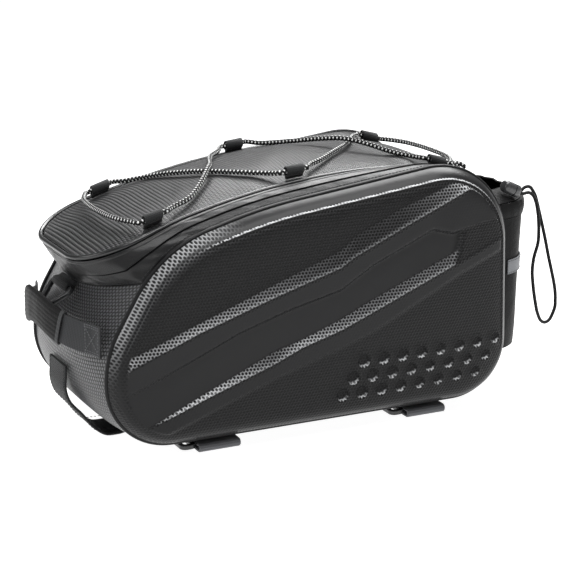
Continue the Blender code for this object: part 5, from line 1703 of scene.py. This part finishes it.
@dataclass
class Lid:
    """The domed lid with its folds and its piping."""

    form: BagForm
    wall: float = 0.002
    rows: int = 30
    # Folds in plan: two ends, rise and width
    folds: tuple = (((-0.198, -0.066), (-0.176, 0.066), 0.0016, 0.006),
                    ((0.070, 0.060), (0.108, -0.076), 0.0016, 0.007),
                    ((-0.060, -0.070), (0.020, 0.020), 0.0008, 0.010))

    def folded(self, x: float, y: float) -> float:
        """Return the lid's height over a point with its folds.

        Args:
            x: the place along the bag.
            y: the place across it.

        Returns:
            the height.
        """
        rise = 0.0
        for (x0, y0), (x1, y1), height, width in self.folds:
            span = math.hypot(x1 - x0, y1 - y0)
            off = ((x - x0) * (y1 - y0) - (y - y0) * (x1 - x0)) / span
            rise += height * math.exp(-(off / width) ** 2)
        half_width = max(float(np.interp(x, *self.form.lid_sides)), 0.004)
        inside = float(smooth_step(1.0, 0.80, min(abs(y) / half_width, 1.0)))
        inside *= float(smooth_step(-0.187, -0.165, x)) * float(smooth_step(0.172, 0.150, x))
        sag = 0.0006 * math.sin(x * 62.0 + y * 31.0) + 0.0005 * math.sin(x * 27.0 - y * 88.0 + 1.0)
        return self.form.lid_height(x, y) + (rise + sag) * inside

    def build(self) -> None:
        """Make the lid's cloth and its piping."""
        form, edge_loop = self.form, self.form.lid_edge
        count, sketch = len(edge_loop), MeshSketch()
        nose_spine, tail_spine = -form.nose_reach + form.nose_half, form.tail_reach - form.tail_half
        grids = []
        for sink in (0.0, self.wall):
            grid = []
            for share in np.linspace(1.0, 0.0, self.rows) ** 0.85:
                line = []
                for index, point in enumerate(edge_loop):
                    along = (edge_loop[(index + 1) % count] - edge_loop[index - 1]).xy.normalized()
                    edge = point.xy + Vector((-along.y, along.x)) * (form.lid_piping + 0.0008)
                    spine = Vector((min(max(edge.x, nose_spine), tail_spine), 0.0))
                    place = mix(spine, edge, float(share))
                    height = self.folded(place.x, place.y) - sink
                    line.append(sketch.add(Vector((place.x, place.y, height)), (place.y, place.x)))
                grid.append(line)
            sketch.add_quads(grid, wrap_columns=True)
            grids.append(grid)
        sketch.add_quads([grids[0][0], grids[1][0]], wrap_columns=True)
        stand_in(sketch.build("lid_cloth", LID_CLOTH), "textured_fabric", "lid")
        piping = sweep("lid_edge_piping", edge_loop, round_section(form.lid_piping, 12), PIPING_VINYL,
                       closed=True)
        stand_in(piping, "piping", "lid_piping")


def sewn_tab(name: str, eye: Vector, tip: Vector, width: float, eye_radius: float, wall: float, axis: str,
             centre: float = 0.0, slope: float = 0.0, steps: int = 44) -> bpy.types.Object:
    """Fold webbing round an eye and sew its two ends together in a stem.

    Args:
        name: the piece's name.
        eye: middle of the eye in the plane across axis.
        tip: end of the stem in that plane.
        width: width of the webbing along axis.
        eye_radius: inner radius of the eye.
        wall: thickness of the webbing.
        axis: X or Y.
        centre: middle of the width.
        slope: rise of the piece along its width.
        steps: points round the eye.

    Returns:
        The new object.
    """
    toward = tip - eye
    heading, reach, soft = math.atan2(toward.y, toward.x), toward.length, wall * 0.3
    sketch = MeshSketch()
    sheets = []
    half = width / 2
    for value, trim in ((-half, soft), (-half + soft, 0.0), (half - soft, 0.0), (half, soft)):
        rings = []
        for inner in (False, True):
            ring, along = [], 0.0
            for step in range(steps):
                angle = 2 * math.pi * step / steps
                spread = eye_radius + (trim if inner else wall - trim)
                if not inner and math.cos(angle) > 0:
                    side = (wall * 1.15 - trim) / max(abs(math.sin(angle)), 1e-6)
                    spread = max(spread, min((reach - trim) / math.cos(angle), side))
                place = eye + Vector((math.cos(heading + angle), math.sin(heading + angle))) * spread
                height = place.y + value * slope
                point = Vector((centre + value, place.x, height) if axis == "X"
                               else (place.x, centre + value, height))
                along += eye_radius * 2 * math.pi / steps * (1.5 if not inner else 1.0)
                ring.append(sketch.add(point, (value, along)))
            rings.append(ring)
        sheets.append(rings)
    for before, after in zip(sheets, sheets[1:]):
        for ring in (0, 1):
            sketch.add_quads([before[ring], after[ring]], wrap_columns=True)
    for end in (sheets[0], sheets[-1]):
        sketch.add_quads(end, wrap_columns=True)
    return sketch.build(name, WEBBING_BLACK, 55.0)


@dataclass
class BungeeNet:
    """The elastic cord laced over the lid through six webbing tabs."""

    form: BagForm
    radius: float = 0.0020
    tab_width: float = 0.015
    tab_eye: float = 0.0030
    tab_wall: float = 0.0013
    stitch_half: float = 0.0055
    stitch_side: float = 0.0021
    stitch_drop: float = 0.0047
    knot_size: float = 0.00155
    mouth_gap: float = 0.0005
    straight: float = 0.004
    rest_gap: float = 0.0016
    cross_gap: float = 0.0006

    def route(self) -> list[Vector]:
        """Return the closed route of the cord through its tabs.

        Returns:
            the points of the route.
        """
        form = self.form
        tabs = {name: form.tab_place(*place) for name, place in CORD_TABS.items()}
        mouth = self.tab_width / 2 + self.mouth_gap
        clear = mouth + self.straight
        points = []
        for start, leave, middle, end, arrive in BUNGEE_LEGS:
            eye, slope = tabs[start]
            along = Vector((1, 0, slope))
            first = eye + along * (leave * clear)
            points += [eye, eye + along * (leave * mouth), first]
            eye, slope = tabs[end]
            along = Vector((1, 0, slope))
            last = eye + along * (arrive * clear)
            for x, y, lift in middle:
                before, after = (Vector((x, y)) - first.xy).length, (Vector((x, y)) - last.xy).length
                resting = form.lid_height(x, y) + self.radius + self.rest_gap
                stretched = mix(first.z, last.z, before / (before + after))
                height = max(resting, stretched) if lift == 0 else resting
                points.append(Vector((x, y, height + lift * (2 * self.radius + self.cross_gap))))
            points += [last, eye + along * (arrive * mouth)]
        return smooth_curve(points, 0.0025, closed=True)

    def build(self) -> None:
        """Make the tabs, the cord, its knot and the tabs' stitching."""
        lines = []
        for name, (x, side) in CORD_TABS.items():
            eye, slope = self.form.tab_place(x, side)
            tip = Vector((eye.y, eye.z - 0.0068 + 0.0006))
            tab = sewn_tab(f"{name}_webbing_tab", Vector((eye.y, eye.z)), tip, self.tab_width, self.tab_eye,
                           self.tab_wall, "X", x, slope)
            stand_in(tab, "webbing", f"cord_tab_{name}")
            for face in (-1, 1):
                foot = Vector((x, eye.y + face * self.stitch_side, eye.z - self.stitch_drop))
                lines.append([foot + Vector((1, 0, slope)) * (step * self.stitch_half) for step in (-1, 1)])
        row = RepeatRow(RepeatForm.STITCH, pitch=0.0018, length=0.0013, thickness=0.0005)
        stand_in(row.along("tab_stitching", lines, DARK_THREAD), "webbing")
        cord = sweep("bungee_braid", self.route(), round_section(self.radius, 12), FLECKED_CORD, closed=True)
        stand_in(cord, "cord", "bungee")
        eye, slope = self.form.tab_place(*CORD_TABS["near_rear"])
        centre = eye + Vector((0.0150, 0.0010, -0.0010 + 0.015 * slope))
        knot = []
        for step in range(60):
            turn = 2 * math.pi * step / 60
            trefoil = Vector((math.sin(turn) + 2 * math.sin(2 * turn),
                              math.cos(turn) - 2 * math.cos(2 * turn), -1.1 * math.sin(3 * turn)))
            knot.append(centre + trefoil * self.knot_size)
        stand_in(sweep("bungee_knot", knot, round_section(0.0017, 10), FLECKED_CORD, closed=True), "cord")
        for number, (dx, dy) in enumerate(((0.011, -0.004), (0.010, 0.005))):
            end = smooth_curve([centre, centre + Vector((dx * 0.5, dy * 0.4, 0.0012)),
                                centre + Vector((dx, dy, -0.0022))], 0.0012)
            stand_in(sweep(f"bungee_end_{number + 1}", end, round_section(0.0018, 10), FLECKED_CORD), "cord")


@dataclass
class RingMounts:
    """The plastic D-rings for a shoulder strap, in webbing tabs at both ends."""

    form: BagForm
    bar_half: float = 0.022
    nose_half: float = 0.009
    bar_corner: float = 0.0032
    nose_corner: float = 0.0040
    ring_width: float = 0.0036
    ring_depth: float = 0.0046
    tab_width: float = 0.032
    tab_eye: float = 0.0025
    tab_wall: float = 0.0016

    def build_one(self, name: str, bar: Vector, hang: Vector, sewn: Vector) -> None:
        """Make one ring and its tab; places are (x, z).

        Args:
            name: which ring.
            bar: middle of the ring's straight bar.
            hang: where its bow hangs.
            sewn: where its tab is sewn on.
        """
        run = Vector((hang.x - bar.x, 0, hang.y - bar.y))
        outline = rounded_loop([(-self.bar_half, 0.0, self.bar_corner),
                                (self.bar_half, 0.0, self.bar_corner),
                                (self.nose_half, run.length, self.nose_corner),
                                (-self.nose_half, run.length, self.nose_corner)], 8)
        way = run.normalized()
        path = [Vector((bar.x, point.x, bar.y)) + way * point.y for point in resample(outline, 120, True)]
        ring = sweep(f"{name}_plastic_ring", path, flat_section(self.ring_width, self.ring_depth),
                     BLACK_ACETAL, way.cross(Vector((0, 1, 0))).normalized(), True)
        stand_in(ring, "black_plastic", f"{name}_d_ring")
        tab = sewn_tab(f"{name}_ring_webbing", bar, sewn, self.tab_width, self.tab_eye, self.tab_wall, "Y")
        stand_in(tab, "webbing", f"{name}_ring_tab")

    def build(self) -> None:
        """Make the front and the rear ring."""
        form = self.form
        top = form.gusset_point(form.front_top_station(0.0), 0.0)
        self.build_one("front", Vector((top.x - 0.0075, top.z - 0.004)),
                       Vector((top.x - 0.0235, top.z - 0.0175)), Vector((top.x - 0.0012, top.z + 0.0005)))
        rear = form.band_point(len(form.band_foot) // 2, 0.25)
        self.build_one("rear", Vector((rear.x + 0.0065, rear.z + 0.004)),
                       Vector((rear.x + 0.0235, rear.z - 0.0045)), Vector((rear.x + 0.0016, rear.z + 0.0130)))


@dataclass
class Handle:
    """The webbing carry handle at the nose, its padded sleeve and its sewn ends."""

    form: BagForm
    height: float = 0.025
    webbing: float = 0.0016
    sleeve_half: float = 0.040
    sleeve_height: float = 0.029
    sleeve_thickness: float = 0.0062
    ribs: int = 8
    sewn_from: float = 0.0560
    box_half: float = 0.0095
    hem_half: float = 0.0112

    def sleeve_section(self) -> list[tuple[float, float]]:
        """Return the sleeve's section with lengthwise ribs on both faces.

        Returns:
            the section's points.
        """
        points, steps = [], self.ribs * 6
        half = self.sleeve_height / 2
        for sign in (1, -1):
            for step in range(steps + 1):
                share = step / steps
                across = sign * half * (1 - 2 * share)
                edge = math.sqrt(max(1 - (abs(across) / half) ** 4, 0.0))
                rib = 0.92 + 0.08 * abs(math.sin(math.pi * self.ribs * share))
                points.append((across, sign * (self.sleeve_thickness / 2 * edge * rib + 0.0001)))
        return points

    def build(self) -> None:
        """Make the strap, the sleeve, its bound ends and the stitching of the sewn ends."""
        line = smooth_curve(self.form.handle_line(), 0.003)
        up = Vector((0, 0, 1))
        strap = sweep("handle_webbing", line, flat_section(self.height, self.webbing), DULL_WEBBING, up)
        stand_in(strap, "webbing", "handle_strap")
        inside = [point for point in line if abs(point.y) < self.sleeve_half]
        sleeve = sweep("handle_padding", inside, self.sleeve_section(), SLEEVE_CLOTH, up,
                       taper=lambda share: 0.94 + 0.06 * float(smooth_step(0.0, 0.03, share)
                                                              * smooth_step(1.0, 0.97, share)))
        stand_in(sleeve, "coated_fabric", "handle_sleeve")
        rim = [(across * 1.03, out * 1.12) for across, out in self.sleeve_section()]
        for name, end in (("near", inside[:2]), ("far", inside[-2:])):
            stand_in(sweep(f"{name}_sleeve_binding", end, rim, EDGE_TAPE, up), "webbing")
        lines = []
        for side in (-1, 1):
            ends = [point for point in line if side * point.y > self.sewn_from]
            lift = Vector((-self.webbing / 2 - 0.0002, 0, 0))
            ends.sort(key=lambda point: abs(point.y))
            for level in (-self.hem_half, -self.box_half, self.box_half, self.hem_half):
                lines.append([point + lift + up * level for point in ends[1:-1]])
            for point in (ends[1], ends[-2]):
                lines.append([point + lift + up * level
                              for level in np.linspace(-self.box_half, self.box_half, 8)])
            first, last = ends[1], ends[-2]
            for level in (-1, 1):
                lines.append([mix(first, last, share) + lift + up * (level * (2 * share - 1) * self.box_half)
                              for share in np.linspace(0.0, 1.0, 8)])
        row = RepeatRow(RepeatForm.STITCH, pitch=0.0024, length=0.0019, thickness=0.0008)
        stand_in(row.along("handle_stitching", lines, PALE_THREAD), "webbing")


@dataclass
class LowerStraps:
    """The seat-post strap under the nose and the folded rack straps with their loops."""

    form: BagForm
    thickness: float = 0.0022
    seatpost_width: float = 0.038
    rack_width: float = 0.036
    reach: float = 0.088
    inner: float = 0.034
    loop_length: float = 0.014
    loop_width: float = 0.0042
    loop_depth: float = 0.0040
    loop_sunk: float = 0.0022
    loop_corner: float = 0.003
    front_x: float = -0.085
    rear_x: float = 0.103
    seatpost_stitch: float = 0.0165
    stitch_foot: float = 0.0060
    seatpost_top: float = 0.064
    # Fall of the seat-post strap: up as a share of its top, out as a share of its width
    seatpost_fall: tuple[tuple[float, float], ...] = ((1.00, 0.045), (0.86, 0.090), (0.70, 0.190),
                                                      (0.52, 0.270), (0.34, 0.300), (0.16, 0.270))

    @property
    def base_z(self) -> float:
        """Underside of the bag's base."""
        return self.form.rim_z - self.form.base_drop

    def seatpost_path(self) -> list[Vector]:
        """Return the seat-post strap's line down the front and under the nose.

        Returns:
            the points of the line.
        """
        lowest, reach = self.thickness / 2, self.thickness
        path = []
        for up, out in self.seatpost_fall:
            z = up * self.seatpost_top
            panel = self.form.panel_x(max(z, self.form.rim_z + 0.004), 0.0, True)
            path.append(Vector((panel - out * self.seatpost_width, 0.0, z)))
        turn = path[-1].x
        path += [Vector((turn + 4.2 * reach, 0, lowest + 0.7 * reach)),
                 Vector((turn + 7.5 * reach, 0, lowest)),
                 Vector((turn + 12 * reach, 0, lowest + 0.3 * reach)),
                 Vector((turn + 18 * reach, 0, self.base_z - lowest - self.form.gap))]
        path.append(path[-1] + Vector((8 * reach, 0, 0)))
        return [Vector((point.x, point.y, max(point.z, lowest))) for point in smooth_curve(path, 0.0022)]

    def build(self) -> None:
        """Make the straps, the loops and the strap's stitching."""
        path = self.seatpost_path()
        strap = sweep("seatpost_webbing", path, flat_section(self.seatpost_width, self.thickness),
                      WEBBING_BLACK, Vector((0, 1, 0)))
        stand_in(strap, "webbing", "seatpost_strap")
        lines = []
        for y in (-self.seatpost_stitch, self.seatpost_stitch):
            rows = []
            for index, point in enumerate(path[1:-1], 1):
                along = (path[index + 1] - path[index - 1]).normalized()
                if point.z > self.stitch_foot:
                    outward = Vector((along.z, 0, -along.x)) * (self.thickness / 2 + 0.0001)
                    rows.append(point + outward + Vector((0, y, 0)))
            lines.append(rows)
        row = RepeatRow(RepeatForm.STITCH, pitch=0.0032, length=0.0023, thickness=0.0006)
        stand_in(row.along("seatpost_stitching", lines, DARK_THREAD), "webbing")
        for side_name, side in (("near", -1), ("far", 1)):
            for end_name, x in (("front", self.front_x), ("rear", self.rear_x)):
                self.build_rack_strap(f"{side_name}_{end_name}", side, x)

    def build_rack_strap(self, name: str, side: int, x: float) -> None:
        """Make one folded rack strap and the plastic loop beside it.

        Args:
            name: which strap.
            side: -1 for near, 1 for far.
            x: its place along the bag.
        """
        upper = self.base_z - self.form.gap - self.thickness / 2
        lower = self.thickness / 2
        radius, middle = (upper - lower) / 2, (upper + lower) / 2
        turn = self.reach - radius - self.thickness / 2
        path = [Vector((x, side * y, upper)) for y in np.linspace(self.inner, turn, 14)]
        path += [Vector((x, side * (turn + radius * math.cos(angle)), middle + radius * math.sin(angle)))
                 for angle in np.linspace(math.pi / 2, -math.pi / 2, 13)[1:-1]]
        path += [Vector((x, side * y, lower)) for y in np.linspace(turn, self.inner, 14)]
        # The rack straps take the lighter webbing, painted light for the shade under the bag.
        strap = sweep(f"{name}_rack_webbing", path, flat_section(self.rack_width, self.thickness),
                      RACK_WEBBING_PAINTED_LIGHT, Vector((1, 0, 0)))
        stand_in(strap, "webbing", f"{name}_rack_strap")
        edge, corner = self.rack_width / 2 - self.form.gap, self.loop_corner
        half = self.loop_length / 2 - self.form.gap
        outline = rounded_loop([(-half * 0.70, -edge * 0.9, corner), (half * 0.70, -edge * 0.9, corner),
                                (half * 0.70, edge * 0.9, corner), (-half * 0.70, edge * 0.9, corner)], 6)
        middle_x = x - self.rack_width / 2 - self.loop_length / 2
        middle_y = side * (self.reach - edge - 0.004)
        loop = [Vector((middle_x + point.x, middle_y + point.y, self.base_z - self.form.gap - self.loop_sunk))
                for point in resample(outline, 80, True)]
        ring = sweep(f"{name}_plastic_loop", loop, flat_section(self.loop_width, self.loop_depth),
                     BLACK_ACETAL, Vector((0, 0, 1)), True)
        stand_in(ring, "black_plastic", f"{name}_rack_loop")


@dataclass
class BottlePocket:
    """The bottle pocket at the rear with its hem, gathered collar, tape and the drawcord's lock."""

    form: BagForm
    half_width: float = 0.050
    reach: float = 0.058
    foot_reach: float = 0.052
    floor_z: float = 0.033
    top_z: float = 0.163
    wall: float = 0.002
    hem_height: float = 0.013
    collar_height: float = 0.010
    tape_low: float = 0.100
    tape_height: float = 0.0125
    seat_gap: float = 0.0006
    swell: float = 0.0007
    hem_puff: float = 0.0008
    hem_wrinkle: float = 0.00035
    ruffle: float = 0.0013
    squareness: float = 0.80

    def back_x(self, y: float, z: float) -> float:
        """Return where the pocket meets the rear panel."""
        across = y / self.form.gusset_half
        return max(self.form.panel_x(level, across, False) for level in (z, z + self.wall)) + self.seat_gap

    def point(self, theta: float, z: float, grow: float = 0.0) -> Vector:
        """Return a point of the pocket's outer face; theta runs from -90 to 90 degrees.

        Args:
            theta: the angle round the pocket, in radians.
            z: the height.
            grow: how far outside the face, in metres.

        Returns:
            the point.
        """
        share = min(max((z - self.floor_z) / (self.top_z - self.floor_z), 0.0), 1.0)
        front = self.form.length / 2 + mix(self.foot_reach, self.reach, share) + grow
        y = (self.half_width + grow) * math.copysign(abs(math.sin(theta)) ** self.squareness, math.sin(theta))
        ahead = max(math.cos(theta), 0.0) ** self.squareness
        return Vector((mix(self.back_x(y, z), front, ahead), y, z))

    def angles(self, limit: float = 90.0, count: int = 61) -> list[float]:
        """Return the angles of the pocket's columns."""
        return [math.radians(limit * (2 * column / (count - 1) - 1)) for column in range(count)]

    def build(self) -> None:
        """Make the pocket and all that is sewn to it."""
        angles = self.angles()
        wall_top = self.top_z - self.hem_height
        grid = []
        for share in (0.0, 0.35, 0.70, 0.93):
            line = []
            for theta in angles:
                edge = self.point(theta, self.floor_z)
                foot = Vector((self.back_x(edge.y, self.floor_z), edge.y, self.floor_z))
                line.append(mix(foot, edge, share))
            grid.append(line)
        for step, z in enumerate(np.linspace(self.floor_z, wall_top, 40)):
            swell = self.swell * math.sin(math.pi * step / 39)
            grid.append([self.point(theta, float(z), swell * math.cos(theta) ** 2
                                    * math.sin(4.1 * theta + 0.05 * step)) for theta in angles])
        pocket = walled_sheet("pocket_cloth", grid, self.wall, POCKET_CLOTH)
        stand_in(pocket, "coated_fabric", "bottle_pocket")
        hem = []
        for share in np.linspace(0.0, 1.0, 7):
            puff = self.hem_puff * (1 + math.sin(math.pi * float(share)))
            hem.append([self.point(theta, mix(wall_top + 0.0003, self.top_z, float(share)),
                                   puff + self.hem_wrinkle * math.sin(theta * 34 + 3 * float(share))
                                   * math.cos(theta)) for theta in angles])
        hem_piece = walled_sheet("hem_cloth", hem, self.wall + 0.0008, POCKET_CLOTH)
        stand_in(hem_piece, "coated_fabric", "pocket_hem")
        collar = []
        fine = self.angles(count=121)
        for share in np.linspace(0.0, 1.0, 8):
            share, line = float(share), []
            for theta in fine:
                base = self.point(theta, self.top_z)
                back, inset = self.back_x(base.y, self.top_z), mix(0.965, 0.72, share)
                wave = math.sin(theta * 15.0 + 0.6 * math.sin(theta * 4))
                ruffle = self.ruffle * share * wave * math.cos(theta)
                line.append(Vector((back + (base.x - back) * inset + ruffle, base.y * inset,
                                    self.top_z + 0.0003 + self.collar_height * share)))
            collar.append(line)
        stand_in(walled_sheet("collar_cloth", collar, self.wall * 0.6, COLLAR_CLOTH), "textured_fabric",
                 "pocket_collar")
        tape = [[self.point(theta, float(z), 0.0011) for theta in self.angles(68)]
                for z in np.linspace(self.tape_low, self.tape_low + self.tape_height, 5)]
        strip = walled_sheet("reflective_strip", tape, 0.0008, REFLECTIVE)
        stand_in(strip, "reflective_tape", "reflective_band")
        lines = [[self.point(theta, z, 0.0012) for theta in self.angles(66, 80)]
                 for z in (self.tape_low + 0.0011, self.tape_low + self.tape_height - 0.0011)]
        lines.append([self.point(theta, wall_top - 0.0012, 0.0001) for theta in self.angles(88, 90)])
        row = RepeatRow(RepeatForm.STITCH, pitch=0.0028, length=0.0021, thickness=0.0005)
        stand_in(row.along("pocket_stitching", lines, DARK_THREAD), "coated_fabric")
        self.build_lock()

    def build_lock(self) -> None:
        """Make the barrel lock that the drawcord's ends come out of."""
        slant, end = math.radians(25.0), Vector((0.2176, -0.0395, 0.1701))
        length, radius = 0.017, 0.0055
        along = Vector((math.cos(slant), 0, -math.sin(slant)))
        shares = [0.0, 0.02, 0.05, 0.30, 0.315, 0.345, 0.36, 0.80, 0.95, 0.985, 1.0]
        radii = [0.80, 0.92, 1.00, 1.00, 0.90, 0.90, 1.00, 1.00, 0.88, 0.78, 0.55]
        path = [end - along * (length * share) for share in shares]
        lock = sweep("cord_lock_barrel", path, round_section(radius, 28), BLACK_ACETAL,
                     taper=lambda share: radii[round(share * (len(radii) - 1))])
        stand_in(lock, "black_plastic", "cord_lock")


@dataclass(frozen=True)
class Drawcord:
    """The free drawcord loop that hangs from the lock."""

    radius: float = 0.0015
    knot_spacing: float = 0.0085
    spacing: float = 0.002

    def build(self) -> None:
        route = [point + MeshSketch.offset for point in smooth_curve(DRAWCORD_ROUTE, self.knot_spacing)]
        fine = smooth_curve(route, self.spacing)
        curve = bpy.data.curves.new("drawcord_braid", "CURVE")
        curve.dimensions, curve.bevel_depth, curve.bevel_resolution = "3D", self.radius, 4
        curve.use_fill_caps = True
        spline = curve.splines.new("POLY")
        spline.points.add(len(fine) - 1)
        for point, place in zip(spline.points, fine):
            point.co = (*place, 1.0)
        spline.use_smooth = True
        curve.materials.append(BLACK_CORD.make())
        cord = bpy.data.objects.new("drawcord_braid", curve)
        bpy.context.scene.collection.objects.link(cord)
        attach(cord, ROOT)
        stand_in(cord, "cord", "drawcord")
        LOG.info("drawcord: %.0f mm", path_length(fine) * 1000)


@dataclass(frozen=True)
class Studio:
    """Camera, pale floor and soft light."""

    turn: float = 25.986
    climb: float = 15.646
    distance: float = 1.5503
    lens: float = 114.17
    target: tuple[float, float, float] = (0.0041, 0.0, 0.0968)

    def set_camera(self) -> None:
        """Set the camera at the photograph's angle."""
        turn, climb = math.radians(self.turn), math.radians(self.climb)
        back = Vector((-math.sin(turn) * math.cos(climb), -math.cos(turn) * math.cos(climb), math.sin(climb)))
        camera = bpy.data.cameras.new("studio_camera")
        camera.lens, camera.sensor_width = self.lens, 36.0
        holder = bpy.data.objects.new("studio_camera", camera)
        holder.location = Vector(self.target) + back * self.distance
        holder.rotation_euler = back.to_track_quat("Z", "Y").to_euler()
        bpy.context.scene.collection.objects.link(holder)
        bpy.context.scene.camera = holder

    def add_light(self, name: str, place: tuple, size: tuple, power: float) -> None:
        """Add one softbox that faces the bag.

        Args:
            name: the piece's name.
            place: its centre.
            size: its two widths, in metres.
            power: its power, in watts.
        """
        light = bpy.data.lights.new(name, "AREA")
        light.shape, light.size, light.size_y, light.energy = "RECTANGLE", size[0], size[1], power
        holder = bpy.data.objects.new(name, light)
        holder.location = place
        holder.rotation_euler = (Vector(place) - Vector(self.target)).to_track_quat("Z", "Y").to_euler()
        bpy.context.scene.collection.objects.link(holder)

    def build(self) -> None:
        """Make the floor and the lights."""
        mesh = bpy.data.meshes.new("studio_floor")
        half = 7.0
        corners = [(-half, -half, 0), (half, -half, 0), (half, half, 0), (-half, half, 0)]
        mesh.from_pydata(corners, [], [(0, 1, 2, 3)])
        mesh.materials.append(FLOOR.make())
        floor = bpy.data.objects.new("studio_floor", mesh)
        bpy.context.scene.collection.objects.link(floor)
        world = bpy.data.worlds.new("studio")
        world.use_nodes = True
        backdrop = world.node_tree.nodes["Background"]
        backdrop.inputs["Color"].default_value = (1.0, 1.0, 1.0, 1.0)
        backdrop.inputs["Strength"].default_value = 0.24
        bpy.context.scene.world = world
        self.add_light("back_softbox", (0.55, 0.62, 1.25), (1.4, 0.8), 46.0)
        self.add_light("key_softbox", (0.05, -0.50, 1.35), (1.3, 0.5), 16.0)
        self.add_light("nose_softbox", (-1.30, 0.10, 0.80), (0.7, 0.7), 6.0)
        bpy.context.scene.view_settings.view_transform = "Standard"


@dataclass(frozen=True)
class GlowingFloor(Finish):
    """White acrylic sheet lit from below, as under a product photograph; it keeps shadows soft."""

    glow: float = 0.96

    def dress(self, tree: bpy.types.NodeTree, shader: bpy.types.Node) -> None:
        """Add the even glow and a barely visible grain.

        Args:
            tree: the material's tree.
            shader: its principled shader.
        """
        shader.inputs["Emission Color"].default_value = linear("#ffffff")
        shader.inputs["Emission Strength"].default_value = self.glow
        self.bump(tree, shader, [(noise(tree, 2.0 * MM), 0.01 * MM)])


FLOOR = GlowingFloor("pale floor", "#a4a4a4", "#a4a4a4", 0.8, 0.2)


def main() -> None:
    """Dress the whole bag."""
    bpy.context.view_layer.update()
    form, studio = BagForm(), Studio()
    studio.set_camera()
    low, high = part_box("near_front_rack_strap")
    MeshSketch.offset = Vector(((low[0] + high[0]) / 2 + 0.085, 0.0, 0.0))
    Drawcord().build()
    studio.build()
    for assembly in (SideShells(form), Gusset(form), ZippedBand(form), Lid(form), BungeeNet(form),
                     RingMounts(form), Handle(form), LowerStraps(form), BottlePocket(form)):
        assembly.build()


if __name__ == "__main__":
    main()
